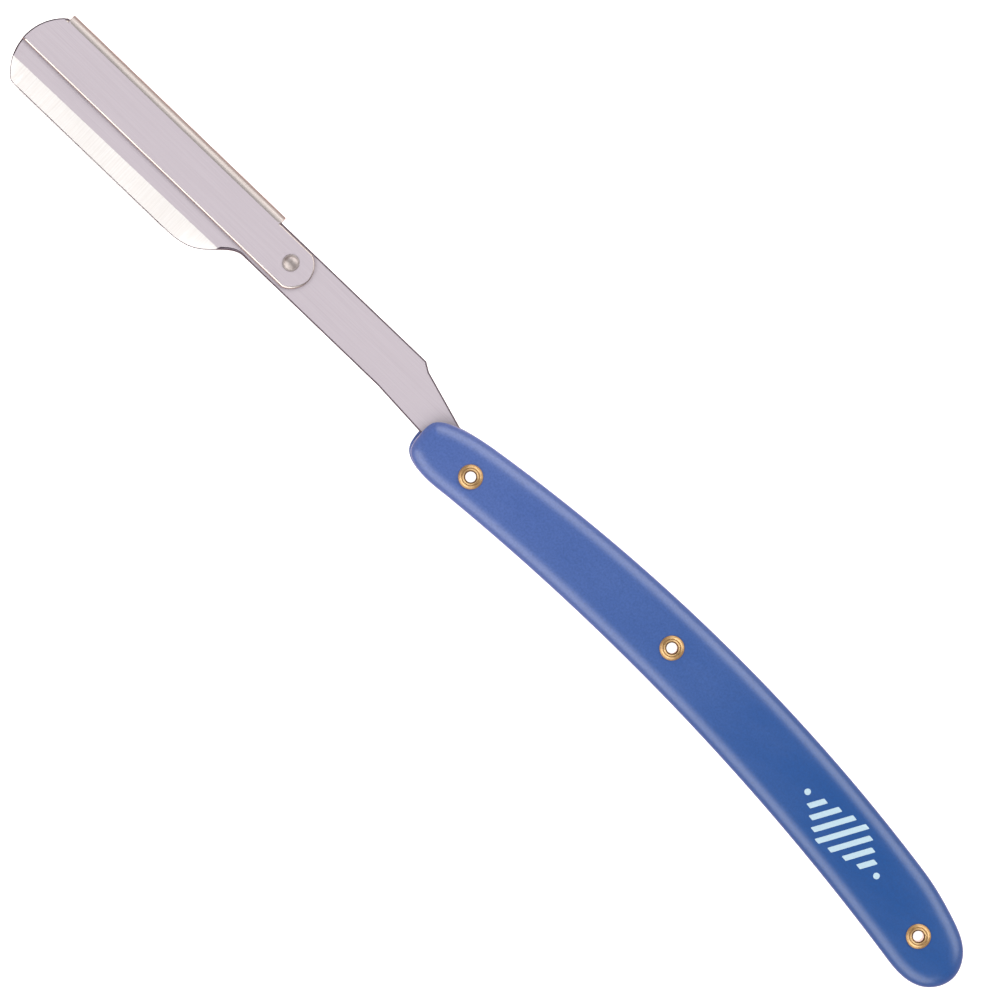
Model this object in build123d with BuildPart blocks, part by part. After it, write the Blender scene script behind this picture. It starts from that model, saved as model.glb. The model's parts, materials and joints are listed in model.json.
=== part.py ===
from build123d import *
import os
from math import cos, radians, sin, sqrt

os.makedirs("parts", exist_ok=True)

# A folding barber's razor that takes half of a double-edge blade, lying open and flat.
# Millimetres. The origin is on the pivot's axis, half way between the two scales.
# +X runs to the end rivet, +Y to the spine's side, +Z to the front scale.

# --- Half of a double-edge blade ---------------------------------------------------------------
blade_length = 43.0
blade_edge_length = 37.4
blade_width = 11.05
blade_thickness = 0.1
blade_shoulder = 4.4            # depth of the narrower part behind the cutting edge
blade_corner = 0.6
blade_reveal = 0.3              # cutting edge beyond the plate's own edge
blade_slot_length = 33.0        # half of the blade's middle slot, along the broken edge
blade_slot_depth = 0.85
notch_radius = 1.6              # half holes along the broken edge
notch_pitch = 14.2
notch_count = 3
blade_play = 0.1                # room behind the blade's thickness
stud_play = 0.1                 # stud inside its notch
stud_gap = 0.05                 # stud's top to the rear leaf
stud_shank_radius = 0.8

# --- Hollow rivets, collars and what they hold --------------------------------------------------
tube_radius = 1.35
tube_wall = 0.33
tube_lip = 0.2                  # round where the bore opens out
flare_lip = 0.4                 # rolled end beyond the tube
flare_height = 0.16
rivet_fit = 0.05                # clearance round a rivet in the scales, collars and spacers
running_fit = 0.06              # clearance round a rivet in a piece that turns on it
collar_radius = 2.35
collar_height = 0.34
collar_rim_height = 0.12
collar_crown_radius = 1.2
washer_radius = 3.7
washer_play = 0.03              # each bearing washer's clearance to the tang
middle_spacer_radius = 4.0
wedge_inset = 0.7               # tail wedge inside the scales' rim
wedge_wall = 0.35               # tail wedge in front of the end rivet
tip_swing_gap = 0.65            # tail wedge clear of the tip as it swings past

# --- Tang plate, in u from the pivot to the tip and v to the cutting edge ------------------------
head_tilt = 1.91                # u axis against the handle's X axis, degrees
tang_thickness = 1.1
boss_radius = 4.1               # round end about the pivot, hidden between the scales
boss_top_angle = -59            # where the spine's side and the edge's side run into it
boss_low_angle = 11
tip_arc_radius = 10.25
tip_arc_v = -1.9
neck_v = -0.3                   # lower edge of the neck
neck_heel_width = 9.5
neck_shoulder_width = 9.56
shoulder_u = 21.0               # corner where the spine drops towards the handle
shoulder_facet = (1.75, 1.1)    # short facet below that corner
neck_bend_u = 24.5
neck_entry = (12.5, 0.5)        # lower edge where it enters the handle
cutting_edge_v = 6.18
straight_edge = 39.1
toe_corner = 1.4
heel_run = 13.7                 # straight edge's back end to the neck
heel_curve = ((0.46, 1.4), (0.72, 4.4))     # share of the heel's run, distance from the edge
toe_rise = 0.42                 # tip's arc ends this far from the edge
bevel_width = 4.05              # ground face along the edge
edge_thickness = 0.22

# --- Clamp cover: one folded sheet ----------------------------------------------------------------
sheet = 0.6
front_play = 0.05               # front leaf over the plate
head_clearance = 0.2            # thicker half of the head inside the slot between the scales
fold_v = -11.05                 # outside of the fold
fold_length = 54.9
fold_setback = 4.15             # fold's end short of the tip
leaf_low_v = -1.15              # front leaf's lower edge
leaf_top_v = -9.4               # leaves' upper edge behind the fold
leaf_round = 2.85               # depth of the leaves' round end
leaf_end_reach = 4.71           # round end behind the clamp rivet
rear_inset = 0.12               # rear leaf's outline inside the plate's
rear_edge_thickness = 0.2
rear_neck_setback = 0.6         # rear leaf's heel ends short of the plate's
rivet_behind_fold = 6.49
clamp_rivet_v = -5.6
shank_radius = 1.0
head_radius = 1.62
head_proud = 0.14
head_break = (0.06, 0.04)       # broken rim of the front head, across and down
dimple_radius = 1.3
dimple_depth = 0.42
dimple_lip = 0.1                # flat round the dimple
back_head_radius = 1.5
back_head_proud = 0.12
back_head_chamfer = 0.3

# --- Handle: two curved scales --------------------------------------------------------------------
pivot_span = 120.0              # pivot to end rivet
middle_station = 49.2           # pivot to middle rivet, along X
scale_thickness = 2.4
scale_edge_radius = 1.9         # round along the outer rim
nose_reach = 12.4               # nose beyond the pivot
back_nose_extra = 0.55          # the back scale's nose stands out a little further
tail_reach = 10.3               # tail beyond the end rivet
tail_round = 8.0                # the back starts to round this far before the end rivet
nose_width = 12.6               # width at the pivot
middle_width = 15.18            # width half way
tail_width = 15.55              # width where the tail starts to round
end_lift = 0.65                 # centre line over the pivot and the end rivet
back_end_rise = 0.9             # where the back starts to round, over that line
belly_end_rise = 0.1
bow_rise = 4.75                 # centre line over the rivets' line half way
nose_shape = (                  # shares of the nose's reach and of its width
    (-0.645, 0.387), (-0.853, 0.288), (-0.968, 0.183), (-1.0, -0.07), (-0.925, -0.355), (-0.52, -0.493),
)
tail_shape = (                  # distance from the tail's tip, share of the tail's width
    (-8.3, 0.452), (-2.3, 0.26), (0.0, -0.05), (-2.6, -0.375), (-7.6, -0.476),
)

# --- Derived sizes and places ----------------------------------------------------------------------
tang_half = tang_thickness / 2
blade_slot = blade_thickness + blade_play
stud_height = blade_slot - stud_gap
front_leaf_low = tang_half + front_play
front_leaf_top = front_leaf_low + sheet
rear_leaf_top = -tang_half - blade_slot
rear_leaf_low = rear_leaf_top - sheet
slot_half = head_clearance - rear_leaf_low
outer_z = slot_half + scale_thickness
collar_top = outer_z + collar_height
flare_top = collar_top + flare_height
bore_radius = tube_radius - tube_wall
crest_radius = tube_radius + flare_lip / 4
roll_radius = 0.75 * flare_lip
hole_radius = tube_radius + rivet_fit
mid_span = pivot_span / 2
middle_lift = bow_rise - (bow_rise - end_lift) * (middle_station / mid_span - 1) ** 2
rivet_places = {"pivot": (0, 0), "middle": (middle_station, middle_lift), "end": (pivot_span, 0)}

wedge_front = pivot_span - hole_radius - wedge_wall
tip_u = wedge_front - tip_swing_gap
tip_centre_u = tip_u - tip_arc_radius
straight_end_u = tip_centre_u + sqrt(tip_arc_radius**2 - (cutting_edge_v - tip_arc_v) ** 2)
heel_u = straight_end_u - toe_corner - straight_edge
neck_u = heel_u - heel_run
blade_centre_u = heel_u + straight_edge / 2
blade_edge_v = cutting_edge_v + blade_reveal
blade_back_v = blade_edge_v - blade_width
fold_end_u = tip_u - fold_setback
fold_start_u = fold_end_u - fold_length
fold_radius = (front_leaf_top - rear_leaf_low) / 2
fold_centre_v = fold_v + fold_radius
fold_centre_z = (front_leaf_top + rear_leaf_low) / 2
clamp_rivet_u = fold_start_u - rivet_behind_fold

tilt = radians(head_tilt)
u_direction = Vector(-cos(tilt), -sin(tilt), 0)
v_direction = Vector(sin(tilt), -cos(tilt), 0)
clamp_rivet_at = u_direction * clamp_rivet_u + v_direction * clamp_rivet_v


def head_plane(height):
    """Plane of the head at a height, x to the tip and y to the cutting edge."""
    return Plane(Vector(0, 0, height), x_dir=u_direction, z_dir=(0, 0, 1))


def head_section(station):
    """Plane across the head at a station, x to the cutting edge and y upwards."""
    return Plane(u_direction * station, x_dir=v_direction, z_dir=u_direction)


def turning_section(place):
    """Plane through an upright axis at a place, for a profile that is revolved about it."""
    return Plane(Vector(*place), x_dir=(1, 0, 0), z_dir=(0, -1, 0))


def scale_outline(reach, inset=0):
    """Rim of a scale, or a line inside it: two long arcs, closed round the nose and the tail."""
    at_nose = nose_width - 2 * inset
    at_middle = middle_width - 2 * inset
    at_tail = tail_width - 2 * inset
    tail_tip = pivot_span + tail_reach - inset
    back = ThreePointArc(
        (0, end_lift + at_nose / 2),
        (mid_span, bow_rise + at_middle / 2),
        (pivot_span - tail_round, end_lift + back_end_rise + at_tail / 2),
    )
    belly = ThreePointArc(
        (0, end_lift - at_nose / 2),
        (mid_span, bow_rise - at_middle / 2),
        (pivot_span - tail_round / 4, end_lift + belly_end_rise - at_tail / 2),
    )
    Spline(
        back @ 0,
        *[(along * reach, across * at_nose) for along, across in nose_shape],
        belly @ 0,
        tangents=[-1 * (back % 0), belly % 0],
    )
    Spline(
        back @ 1,
        *[(tail_tip + along, across * at_tail) for along, across in tail_shape],
        belly @ 1,
        tangents=[back % 1, -1 * (belly % 1)],
    )


def tip_point(v, inset=0):
    """Point of the tip's arc at a distance v across the head."""
    radius = tip_arc_radius - inset
    return (tip_centre_u + sqrt(radius**2 - (v - tip_arc_v) ** 2), v)


def edge_outline(top_v, inset, neck_point):
    """Tip, straight edge and heel, from the spine's side round to a point of the neck."""
    edge_v = cutting_edge_v - inset
    tip_end = tip_point(edge_v - toe_rise, inset)
    tip = ThreePointArc(tip_point(top_v, inset), (tip_u - inset, tip_arc_v), tip_end)
    Spline(tip @ 1, (heel_u + straight_edge, edge_v), tangents=[tip % 1, (-1, 0)])
    Line((heel_u + straight_edge, edge_v), (heel_u, edge_v))
    (first_share, first_depth), (second_share, second_depth) = heel_curve
    Spline(
        (heel_u, edge_v),
        (heel_u - first_share * heel_run, edge_v - first_depth),
        (heel_u - second_share * heel_run + inset, edge_v - second_depth),
        neck_point,
        tangents=[(-1, 0), (-1, 0)],
    )


# Scales: the round runs along the rim of the outer face; the holes are drilled after it.
for side, reach, name in ((1, nose_reach, "front_scale"), (-1, nose_reach + back_nose_extra, "back_scale")):
    with BuildPart() as scale:
        with BuildSketch(Plane.XY.offset(side * slot_half)):
            with BuildLine():
                scale_outline(reach)
            make_face()
        extrude(amount=side * scale_thickness)
        outer_face = scale.faces().sort_by(Axis.Z, reverse=side < 0)[-1]
        fillet(outer_face.edges(), radius=scale_edge_radius)
        with BuildSketch(Plane.XY.offset(side * slot_half)):
            with Locations(*rivet_places.values()):
                Circle(hole_radius)
        extrude(amount=side * scale_thickness, mode=Mode.SUBTRACT)
    scale.part.label = name
    export_step(scale.part, f"parts/{name}.step")

# Hollow rivets with rolled ends, and a crowned collar under each end.
for place, (x, y) in rivet_places.items():
    axis = Axis((x, y, 0), (0, 0, 1))
    with BuildPart() as tube_rivet:
        with BuildSketch(turning_section((x, y, 0))):
            with BuildLine():
                Polyline(
                    (tube_radius, 0),
                    (tube_radius, collar_top),
                    (tube_radius + flare_lip, collar_top),
                )
                roll = RadiusArc(
                    (tube_radius + flare_lip, collar_top), (crest_radius, flare_top), -roll_radius
                )
                Line(roll @ 1, (bore_radius + tube_lip, flare_top))
                lip = RadiusArc(
                    (bore_radius + tube_lip, flare_top), (bore_radius, flare_top - tube_lip), -tube_lip
                )
                Polyline(lip @ 1, (bore_radius, 0), (tube_radius, 0))
            make_face()
        revolve(axis=axis)
        mirror(about=Plane.XY)
    tube_rivet.part.label = f"{place}_tube_rivet"
    export_step(tube_rivet.part, f"parts/{place}_tube_rivet.step")

    for side, face in ((1, "front"), (-1, "back")):
        with BuildPart() as collar:
            with BuildSketch(turning_section((x, y, 0))):
                with BuildLine():
                    Polyline(
                        (tube_radius + flare_lip, side * collar_top),
                        (hole_radius, side * collar_top),
                        (hole_radius, side * outer_z),
                        (collar_radius, side * outer_z),
                        (collar_radius, side * (outer_z + collar_rim_height)),
                    )
                    RadiusArc(
                        (collar_radius, side * (outer_z + collar_rim_height)),
                        (tube_radius + flare_lip, side * collar_top),
                        -side * collar_crown_radius,
                    )
                make_face()
            revolve(axis=axis)
        collar.part.label = f"{place}_{face}_collar"
        export_step(collar.part, f"parts/{place}_{face}_collar.step")

# Bearing washers that centre the tang in the slot.
washer_thickness = slot_half - tang_half - washer_play
for side, face in ((1, "front"), (-1, "back")):
    with BuildPart() as washer:
        with BuildSketch(Plane.XY.offset(side * slot_half)):
            Circle(washer_radius)
            Circle(hole_radius, mode=Mode.SUBTRACT)
        extrude(amount=-side * washer_thickness)
    washer.part.label = f"pivot_{face}_washer"
    export_step(washer.part, f"parts/pivot_{face}_washer.step")

# Bush round the middle rivet: the closed tang comes to rest against it.
with BuildPart() as middle_spacer:
    with BuildSketch():
        with Locations(rivet_places["middle"]):
            Circle(middle_spacer_radius)
            Circle(hole_radius, mode=Mode.SUBTRACT)
    extrude(amount=slot_half, both=True)
middle_spacer.part.label = "middle_spacer"
export_step(middle_spacer.part, "parts/middle_spacer.step")

# Wedge between the scales' tails, hollowed along the circle that the tip swings on.
with BuildPart() as tail_wedge:
    with BuildSketch(Plane.XY.offset(-slot_half)):
        with BuildLine():
            scale_outline(nose_reach, wedge_inset)
        make_face()
        Circle(wedge_front, mode=Mode.SUBTRACT)
        with Locations(rivet_places["end"]):
            Circle(hole_radius, mode=Mode.SUBTRACT)
    extrude(amount=2 * slot_half)
tail_wedge.part.label = "tail_wedge"
export_step(tail_wedge.part, "parts/tail_wedge.step")

# Tang plate: neck, shoulder and blade bed in one flat piece, ground thin along the edge.
spine_heel_v = neck_v - neck_heel_width
spine_shoulder_v = neck_v - neck_shoulder_width
facet_u = shoulder_u - shoulder_facet[0]
facet_v = spine_shoulder_v + shoulder_facet[1]
boss_top = (boss_radius * cos(radians(boss_top_angle)), boss_radius * sin(radians(boss_top_angle)))
boss_low = (boss_radius * cos(radians(boss_low_angle)), boss_radius * sin(radians(boss_low_angle)))
stud_places = [(blade_centre_u + (n - (notch_count - 1) / 2) * notch_pitch, blade_back_v)
               for n in range(notch_count)]

with BuildPart() as tang_plate:
    with BuildSketch(head_plane(-tang_half)):
        with BuildLine():
            edge_outline(spine_heel_v, 0, (neck_u, neck_v))
            Polyline((neck_u, neck_v), (neck_bend_u, neck_v), neck_entry, boss_low)
            ThreePointArc(boss_low, (-boss_radius, 0), boss_top)
            Polyline(
                boss_top,
                (facet_u, facet_v),
                (shoulder_u, spine_shoulder_v),
                (fold_start_u, spine_heel_v),
                tip_point(spine_heel_v),
            )
        make_face()
        Circle(tube_radius + running_fit, mode=Mode.SUBTRACT)
        with Locations((clamp_rivet_u, clamp_rivet_v)):
            Circle(shank_radius + running_fit, mode=Mode.SUBTRACT)
        with Locations(*stud_places):
            Circle(stud_shank_radius, mode=Mode.SUBTRACT)
    extrude(amount=tang_thickness)
    bevel_fall = tang_thickness - edge_thickness
    with BuildSketch(head_section(neck_u)):
        Polygon(
            (cutting_edge_v - bevel_width, tang_half),
            (cutting_edge_v + bevel_width, tang_half - 2 * bevel_fall),
            (cutting_edge_v + bevel_width, tang_half),
            align=None,
        )
    extrude(amount=tip_u, mode=Mode.SUBTRACT)
tang_plate.part.label = "tang_plate"
export_step(tang_plate.part, "parts/tang_plate.step")

# Clamp cover: front leaf, half-round fold over the spine, rear leaf with its own ground edge.
rear_neck = (neck_u + rear_neck_setback, leaf_low_v)
leaf_end_u = clamp_rivet_u - leaf_end_reach
leaf_top_corner = (leaf_end_u + leaf_round, leaf_top_v)
leaf_low_corner = (leaf_end_u + leaf_round, leaf_low_v)
with BuildPart() as clamp_cover:
    with BuildSketch(head_plane(front_leaf_low)):
        with BuildLine():
            Polyline(
                leaf_top_corner,
                (fold_start_u, leaf_top_v),
                (fold_start_u, fold_centre_v),
                (fold_end_u, fold_centre_v),
                tip_point(fold_centre_v),
            )
            ThreePointArc(tip_point(fold_centre_v), (tip_u, tip_arc_v), tip_point(leaf_low_v))
            Line(tip_point(leaf_low_v), leaf_low_corner)
            ThreePointArc(leaf_low_corner, (leaf_end_u, (leaf_top_v + leaf_low_v) / 2), leaf_top_corner)
        make_face()
        with Locations((clamp_rivet_u, clamp_rivet_v)):
            Circle(shank_radius, mode=Mode.SUBTRACT)
    extrude(amount=sheet)
    with BuildSketch(head_plane(rear_leaf_low)):
        with BuildLine():
            Polyline(
                leaf_top_corner,
                (fold_start_u, leaf_top_v),
                (fold_start_u, fold_centre_v),
                (fold_end_u, fold_centre_v),
                tip_point(fold_centre_v, rear_inset),
            )
            edge_outline(fold_centre_v, rear_inset, rear_neck)
            Line(rear_neck, leaf_low_corner)
            ThreePointArc(leaf_low_corner, (leaf_end_u, (leaf_top_v + leaf_low_v) / 2), leaf_top_corner)
        make_face()
        with Locations((clamp_rivet_u, clamp_rivet_v)):
            Circle(shank_radius, mode=Mode.SUBTRACT)
    extrude(amount=sheet)
    with BuildSketch(head_section(fold_start_u)):
        with Locations((fold_centre_v, fold_centre_z)):
            Circle(fold_radius)
            Circle(fold_radius - sheet, mode=Mode.SUBTRACT)
            Rectangle(2 * fold_radius, 4 * fold_radius, align=(Align.MIN, Align.CENTER), mode=Mode.SUBTRACT)
    extrude(amount=fold_length)
    rear_fall = sheet - rear_edge_thickness
    with BuildSketch(head_section(neck_u)):
        Polygon(
            (cutting_edge_v - bevel_width, rear_leaf_low),
            (cutting_edge_v + bevel_width, rear_leaf_low + 2 * rear_fall),
            (cutting_edge_v + bevel_width, rear_leaf_low),
            align=None,
        )
    extrude(amount=tip_u, mode=Mode.SUBTRACT)
    with BuildSketch(turning_section((clamp_rivet_at.X, clamp_rivet_at.Y, 0))):
        Polygon(
            (0, front_leaf_low),
            (shank_radius, front_leaf_low),
            (head_radius, front_leaf_top),
            (0, front_leaf_top),
            align=None,
        )
    revolve(axis=Axis(clamp_rivet_at, (0, 0, 1)), mode=Mode.SUBTRACT)
clamp_cover.part.label = "clamp_cover"
export_step(clamp_cover.part, "parts/clamp_cover.step")

# Clamp rivet: countersunk and dimpled in front, low domed head behind.
head_top = front_leaf_top + head_proud
dimple_sphere = (dimple_radius**2 + dimple_depth**2) / (2 * dimple_depth)
with BuildPart() as clamp_rivet:
    with BuildSketch(turning_section((clamp_rivet_at.X, clamp_rivet_at.Y, 0))):
        with BuildLine():
            Polyline(
                (0, rear_leaf_low - back_head_proud),
                (back_head_radius - back_head_chamfer, rear_leaf_low - back_head_proud),
                (back_head_radius, rear_leaf_low),
                (shank_radius, rear_leaf_low),
                (shank_radius, front_leaf_low),
                (head_radius, front_leaf_top),
                (head_radius - head_break[0], head_top - head_break[1]),
                (dimple_radius + dimple_lip, head_top),
                (dimple_radius, head_top),
            )
            RadiusArc((dimple_radius, head_top), (0, head_top - dimple_depth), dimple_sphere)
            Line((0, head_top - dimple_depth), (0, rear_leaf_low - back_head_proud))
        make_face()
    revolve(axis=Axis(clamp_rivet_at, (0, 0, 1)))
clamp_rivet.part.label = "clamp_rivet"
export_step(clamp_rivet.part, "parts/clamp_rivet.step")

# Studs pressed into the back of the plate, one for each half hole of the blade.
with BuildPart() as blade_locating_studs:
    with BuildSketch(head_plane(-tang_half - stud_height)):
        with Locations(*stud_places):
            Circle(notch_radius - stud_play)
    extrude(amount=stud_height)
    with BuildSketch(head_plane(-tang_half)):
        with Locations(*stud_places):
            Circle(stud_shank_radius)
    extrude(amount=tang_thickness)
blade_locating_studs.part.label = "blade_locating_studs"
export_step(blade_locating_studs.part, "parts/blade_locating_studs.step")

# Half blade: cutting edge, two shoulders, and the half slot and half holes of the broken side.
with BuildPart() as half_blade:
    with BuildSketch(head_plane(-tang_half - blade_thickness)) as blade_outline:
        with Locations((blade_centre_u, blade_back_v)):
            Rectangle(blade_length, blade_width - blade_shoulder, align=(Align.CENTER, Align.MIN))
        fillet(blade_outline.vertices(), radius=blade_corner)
        with Locations((blade_centre_u, blade_back_v)):
            Rectangle(blade_edge_length, blade_width, align=(Align.CENTER, Align.MIN))
            Rectangle(blade_slot_length, 2 * blade_slot_depth, mode=Mode.SUBTRACT)
        with Locations(*stud_places):
            Circle(notch_radius, mode=Mode.SUBTRACT)
    extrude(amount=blade_thickness)
half_blade.part.label = "half_blade"
export_step(half_blade.part, "parts/half_blade.step")
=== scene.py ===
"""Looks of a folding razor that takes half of a double-edge blade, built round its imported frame.

Every size below is in millimetres and every mesh is written in metres, in the frame's own axes: the
origin on the pivot, +X to the end rivet, +Y to the spine's side, +Z to the front scale. The head is
drawn in u and v: u runs from the pivot to the tip and v to the cutting edge.
"""

import json
import logging
import math
from collections.abc import Callable, Sequence
from dataclasses import dataclass, field
from enum import Enum, IntEnum

import bmesh
import bpy
import numpy as np
from mathutils.geometry import delaunay_2d_cdt
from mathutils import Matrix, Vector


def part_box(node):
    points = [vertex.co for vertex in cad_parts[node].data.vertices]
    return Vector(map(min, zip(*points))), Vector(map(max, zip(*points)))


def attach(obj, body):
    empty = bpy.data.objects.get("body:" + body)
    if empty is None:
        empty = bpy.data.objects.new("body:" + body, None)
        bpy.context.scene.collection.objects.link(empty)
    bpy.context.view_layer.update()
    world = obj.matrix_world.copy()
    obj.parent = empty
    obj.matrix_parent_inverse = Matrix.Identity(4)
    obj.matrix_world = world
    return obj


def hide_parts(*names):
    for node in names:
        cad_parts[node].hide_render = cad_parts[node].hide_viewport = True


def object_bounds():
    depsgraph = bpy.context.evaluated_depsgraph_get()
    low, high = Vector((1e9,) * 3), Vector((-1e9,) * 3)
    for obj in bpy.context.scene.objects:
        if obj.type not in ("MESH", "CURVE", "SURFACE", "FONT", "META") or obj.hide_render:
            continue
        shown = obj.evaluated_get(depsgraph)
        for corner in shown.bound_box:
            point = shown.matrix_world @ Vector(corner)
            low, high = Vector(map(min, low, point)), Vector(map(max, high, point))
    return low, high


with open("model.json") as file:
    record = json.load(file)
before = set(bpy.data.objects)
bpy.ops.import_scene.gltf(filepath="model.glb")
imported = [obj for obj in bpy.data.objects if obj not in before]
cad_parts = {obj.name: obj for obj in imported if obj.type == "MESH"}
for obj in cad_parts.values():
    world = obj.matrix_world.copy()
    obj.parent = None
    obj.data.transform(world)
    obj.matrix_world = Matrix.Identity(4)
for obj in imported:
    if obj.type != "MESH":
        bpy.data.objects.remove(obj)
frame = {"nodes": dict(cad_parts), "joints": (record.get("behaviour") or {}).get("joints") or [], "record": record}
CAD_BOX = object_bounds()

log = logging.getLogger("razor")
Array = np.ndarray
Point = tuple[float, float]
Height = Callable[[Array], Array]
MM = 0.001
WELD = 1e-6


# --- The frame's own places ---------------------------------------------------------------------------


@dataclass(frozen=True)
class Layout:
    """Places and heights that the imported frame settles, in millimetres."""

    slot_half: float
    outer_z: float
    collar_top: float
    flare_top: float
    bore_radius: float
    rivets: dict[str, Point]
    clamp_rivet: Point
    tang_half: float
    cover_top: float
    cover_low: float
    floor_z: float

    @classmethod
    def read(cls) -> "Layout":
        """Reads the places from the nodes' boxes, the mounts and the joints.

        Returns:
            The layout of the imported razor.
        """
        scale_low, scale_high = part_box("front_scale")
        mounts = {m["name"]: m for m in frame["record"]["mounts"]}
        swing = next(j for j in frame["joints"] if j["name"] == "clamp_swing")
        return cls(
            slot_half=scale_low.z / MM,
            outer_z=scale_high.z / MM,
            collar_top=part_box("pivot_front_collar")[1].z / MM,
            flare_top=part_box("pivot_tube_rivet")[1].z / MM,
            bore_radius=mounts["pivot_bore"]["dims"]["r_mm"],
            rivets={p: tuple(c / MM for c in mounts[p + "_bore"]["pos_m"][:2])
                    for p in ("pivot", "middle", "end")},
            clamp_rivet=tuple(c / MM for c in swing["pos_m"][:2]),
            tang_half=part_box("tang_plate")[1].z / MM,
            cover_top=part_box("clamp_cover")[1].z / MM,
            cover_low=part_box("clamp_cover")[0].z / MM,
            floor_z=CAD_BOX[0][2] / MM,
        )


LAYOUT = Layout.read()


# --- Lines --------------------------------------------------------------------------------------------


def line(start: Point, end: Point, spacing: float = 0.6) -> Array:
    """Evenly spaced points of a straight line.

    Args:
        start: First point.
        end: Last point.
        spacing: Longest step between two points.

    Returns:
        Points as rows, both ends included.
    """
    a, b = np.array(start, float), np.array(end, float)
    count = max(2, int(np.linalg.norm(b - a) / spacing) + 2)
    return a + (b - a) * np.linspace(0, 1, count)[:, None]


def arc(start: Point, middle: Point, end: Point, spacing: float = 0.25) -> Array:
    """Points of the circle's arc from start to end that passes through middle.

    The centre is as far from all three points: two linear equations. The angle then runs evenly
    from the start's to the end's, the way round that meets the middle.

    Args:
        start: First point.
        middle: A point on the arc.
        end: Last point.
        spacing: Longest step between two points.

    Returns:
        Points as rows, both ends included.
    """
    a, m, b = (np.array(p, float) for p in (start, middle, end))
    centre = np.linalg.solve(2 * np.array([m - a, b - a]), [m @ m - a @ a, b @ b - a @ a])
    radius = np.linalg.norm(a - centre)
    first, via, last = (math.atan2(*(p - centre)[::-1]) for p in (a, m, b))
    sweep = (last - first) % (2 * math.pi)
    if (via - first) % (2 * math.pi) > sweep:
        sweep -= 2 * math.pi
    angles = first + sweep * np.linspace(0, 1, max(4, int(abs(sweep) * radius / spacing) + 2))
    return centre + radius * np.column_stack([np.cos(angles), np.sin(angles)])


def spline(points: Sequence[Point], start_way: Point, end_way: Point, spacing: float = 0.25) -> Array:
    """Smooth line through points, with a given direction at each end.

    A piecewise cubic over the chords' lengths: its slopes at the points solve the equations that
    make the curvature continuous, with the two end slopes given.

    Args:
        points: Points that the line passes through.
        start_way: Direction at the first point.
        end_way: Direction at the last point.
        spacing: Longest step between two points.

    Returns:
        Points as rows, both ends included.
    """
    p = np.array(points, float)
    h = np.linalg.norm(np.diff(p, axis=0), axis=1)
    n = len(p)
    system, right = np.eye(n), np.zeros((n, 2))
    right[0] = np.array(start_way) / np.linalg.norm(start_way)
    right[-1] = np.array(end_way) / np.linalg.norm(end_way)
    inner = np.arange(1, n - 1)
    system[inner, inner - 1] = h[1:]
    system[inner, inner] = 2 * (h[1:] + h[:-1])
    system[inner, inner + 1] = h[:-1]
    rate = np.diff(p, axis=0) / h[:, None]
    right[inner] = 3 * (h[1:, None] * rate[:-1] + h[:-1, None] * rate[1:])
    slope = np.linalg.solve(system, right)
    along = np.append(0, np.cumsum(h))
    s = np.linspace(0, along[-1], max(4, int(along[-1] / spacing) + 2))
    k = np.clip(np.searchsorted(along, s, side="right") - 1, 0, n - 2)
    t = ((s - along[k]) / h[k])[:, None]
    step = h[k][:, None]
    return (
        (1 + 2 * t) * (1 - t) ** 2 * p[k] + t * (1 - t) ** 2 * step * slope[k]
        + t**2 * (3 - 2 * t) * p[k + 1] + t**2 * (t - 1) * step * slope[k + 1]
    )


def circle(centre: Point, radius: float, count: int = 64) -> Array:
    """Points of a circle, anticlockwise."""
    angles = np.arange(count) / count * 2 * math.pi
    return np.array(centre) + radius * np.column_stack([np.cos(angles), np.sin(angles)])


def closed(*pieces: Array) -> Array:
    """Joins lines end to end into one closed loop, anticlockwise, with no point twice.

    Args:
        pieces: Lines whose ends meet in order.

    Returns:
        The loop's points, the last one next to the first.
    """
    loop = np.vstack(pieces)
    loop = loop[np.linalg.norm(loop - np.roll(loop, 1, axis=0), axis=1) > 1e-3]
    x, y = loop.T
    area = x @ np.roll(y, -1) - y @ np.roll(x, -1)
    return loop if area > 0 else loop[::-1]


def inset(loop: Array, distance: float | Array) -> Array:
    """Moves an anticlockwise loop inwards, each side parallel to itself.

    Each point moves along the sum of its two sides' inward normals, over one plus their product,
    which keeps both sides' distance.

    Args:
        loop: Closed loop of points.
        distance: How far each side moves, for the whole loop or for each point.

    Returns:
        The moved loop, point for point.
    """
    ahead = np.roll(loop, -1, axis=0) - loop
    ahead /= np.linalg.norm(ahead, axis=1)[:, None]
    normal = np.column_stack([-ahead[:, 1], ahead[:, 0]])
    before = np.roll(normal, 1, axis=0)
    spread = np.maximum(1 + (normal * before).sum(1), 0.4)
    return loop + np.broadcast_to(distance, len(loop))[:, None] * (normal + before) / spread[:, None]


def dense(loop: Array, spacing: float) -> Array:
    """Adds points along the long sides of a closed loop, evenly by distance round it.

    Args:
        loop: Closed loop of points.
        spacing: Longest step between two points.

    Returns:
        The loop with its own points and the new ones.
    """
    ring = np.vstack([loop, loop[:1]])
    along = np.append(0, np.cumsum(np.linalg.norm(np.diff(ring, axis=0), axis=1)))
    s = np.unique(np.concatenate([along[:-1], np.arange(0, along[-1] - spacing / 2, spacing)]))
    s = s[np.diff(s, prepend=-1.0) > spacing / 20]
    return np.column_stack([np.interp(s, along, ring[:, k]) for k in (0, 1)])


def distance_to(loop: Array, points: Array) -> Array:
    """Distance from each point to the nearest point of a dense loop."""
    gaps = points[:, None, :] - loop[None, :, :]
    return np.sqrt((gaps**2).sum(2).min(1))


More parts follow.
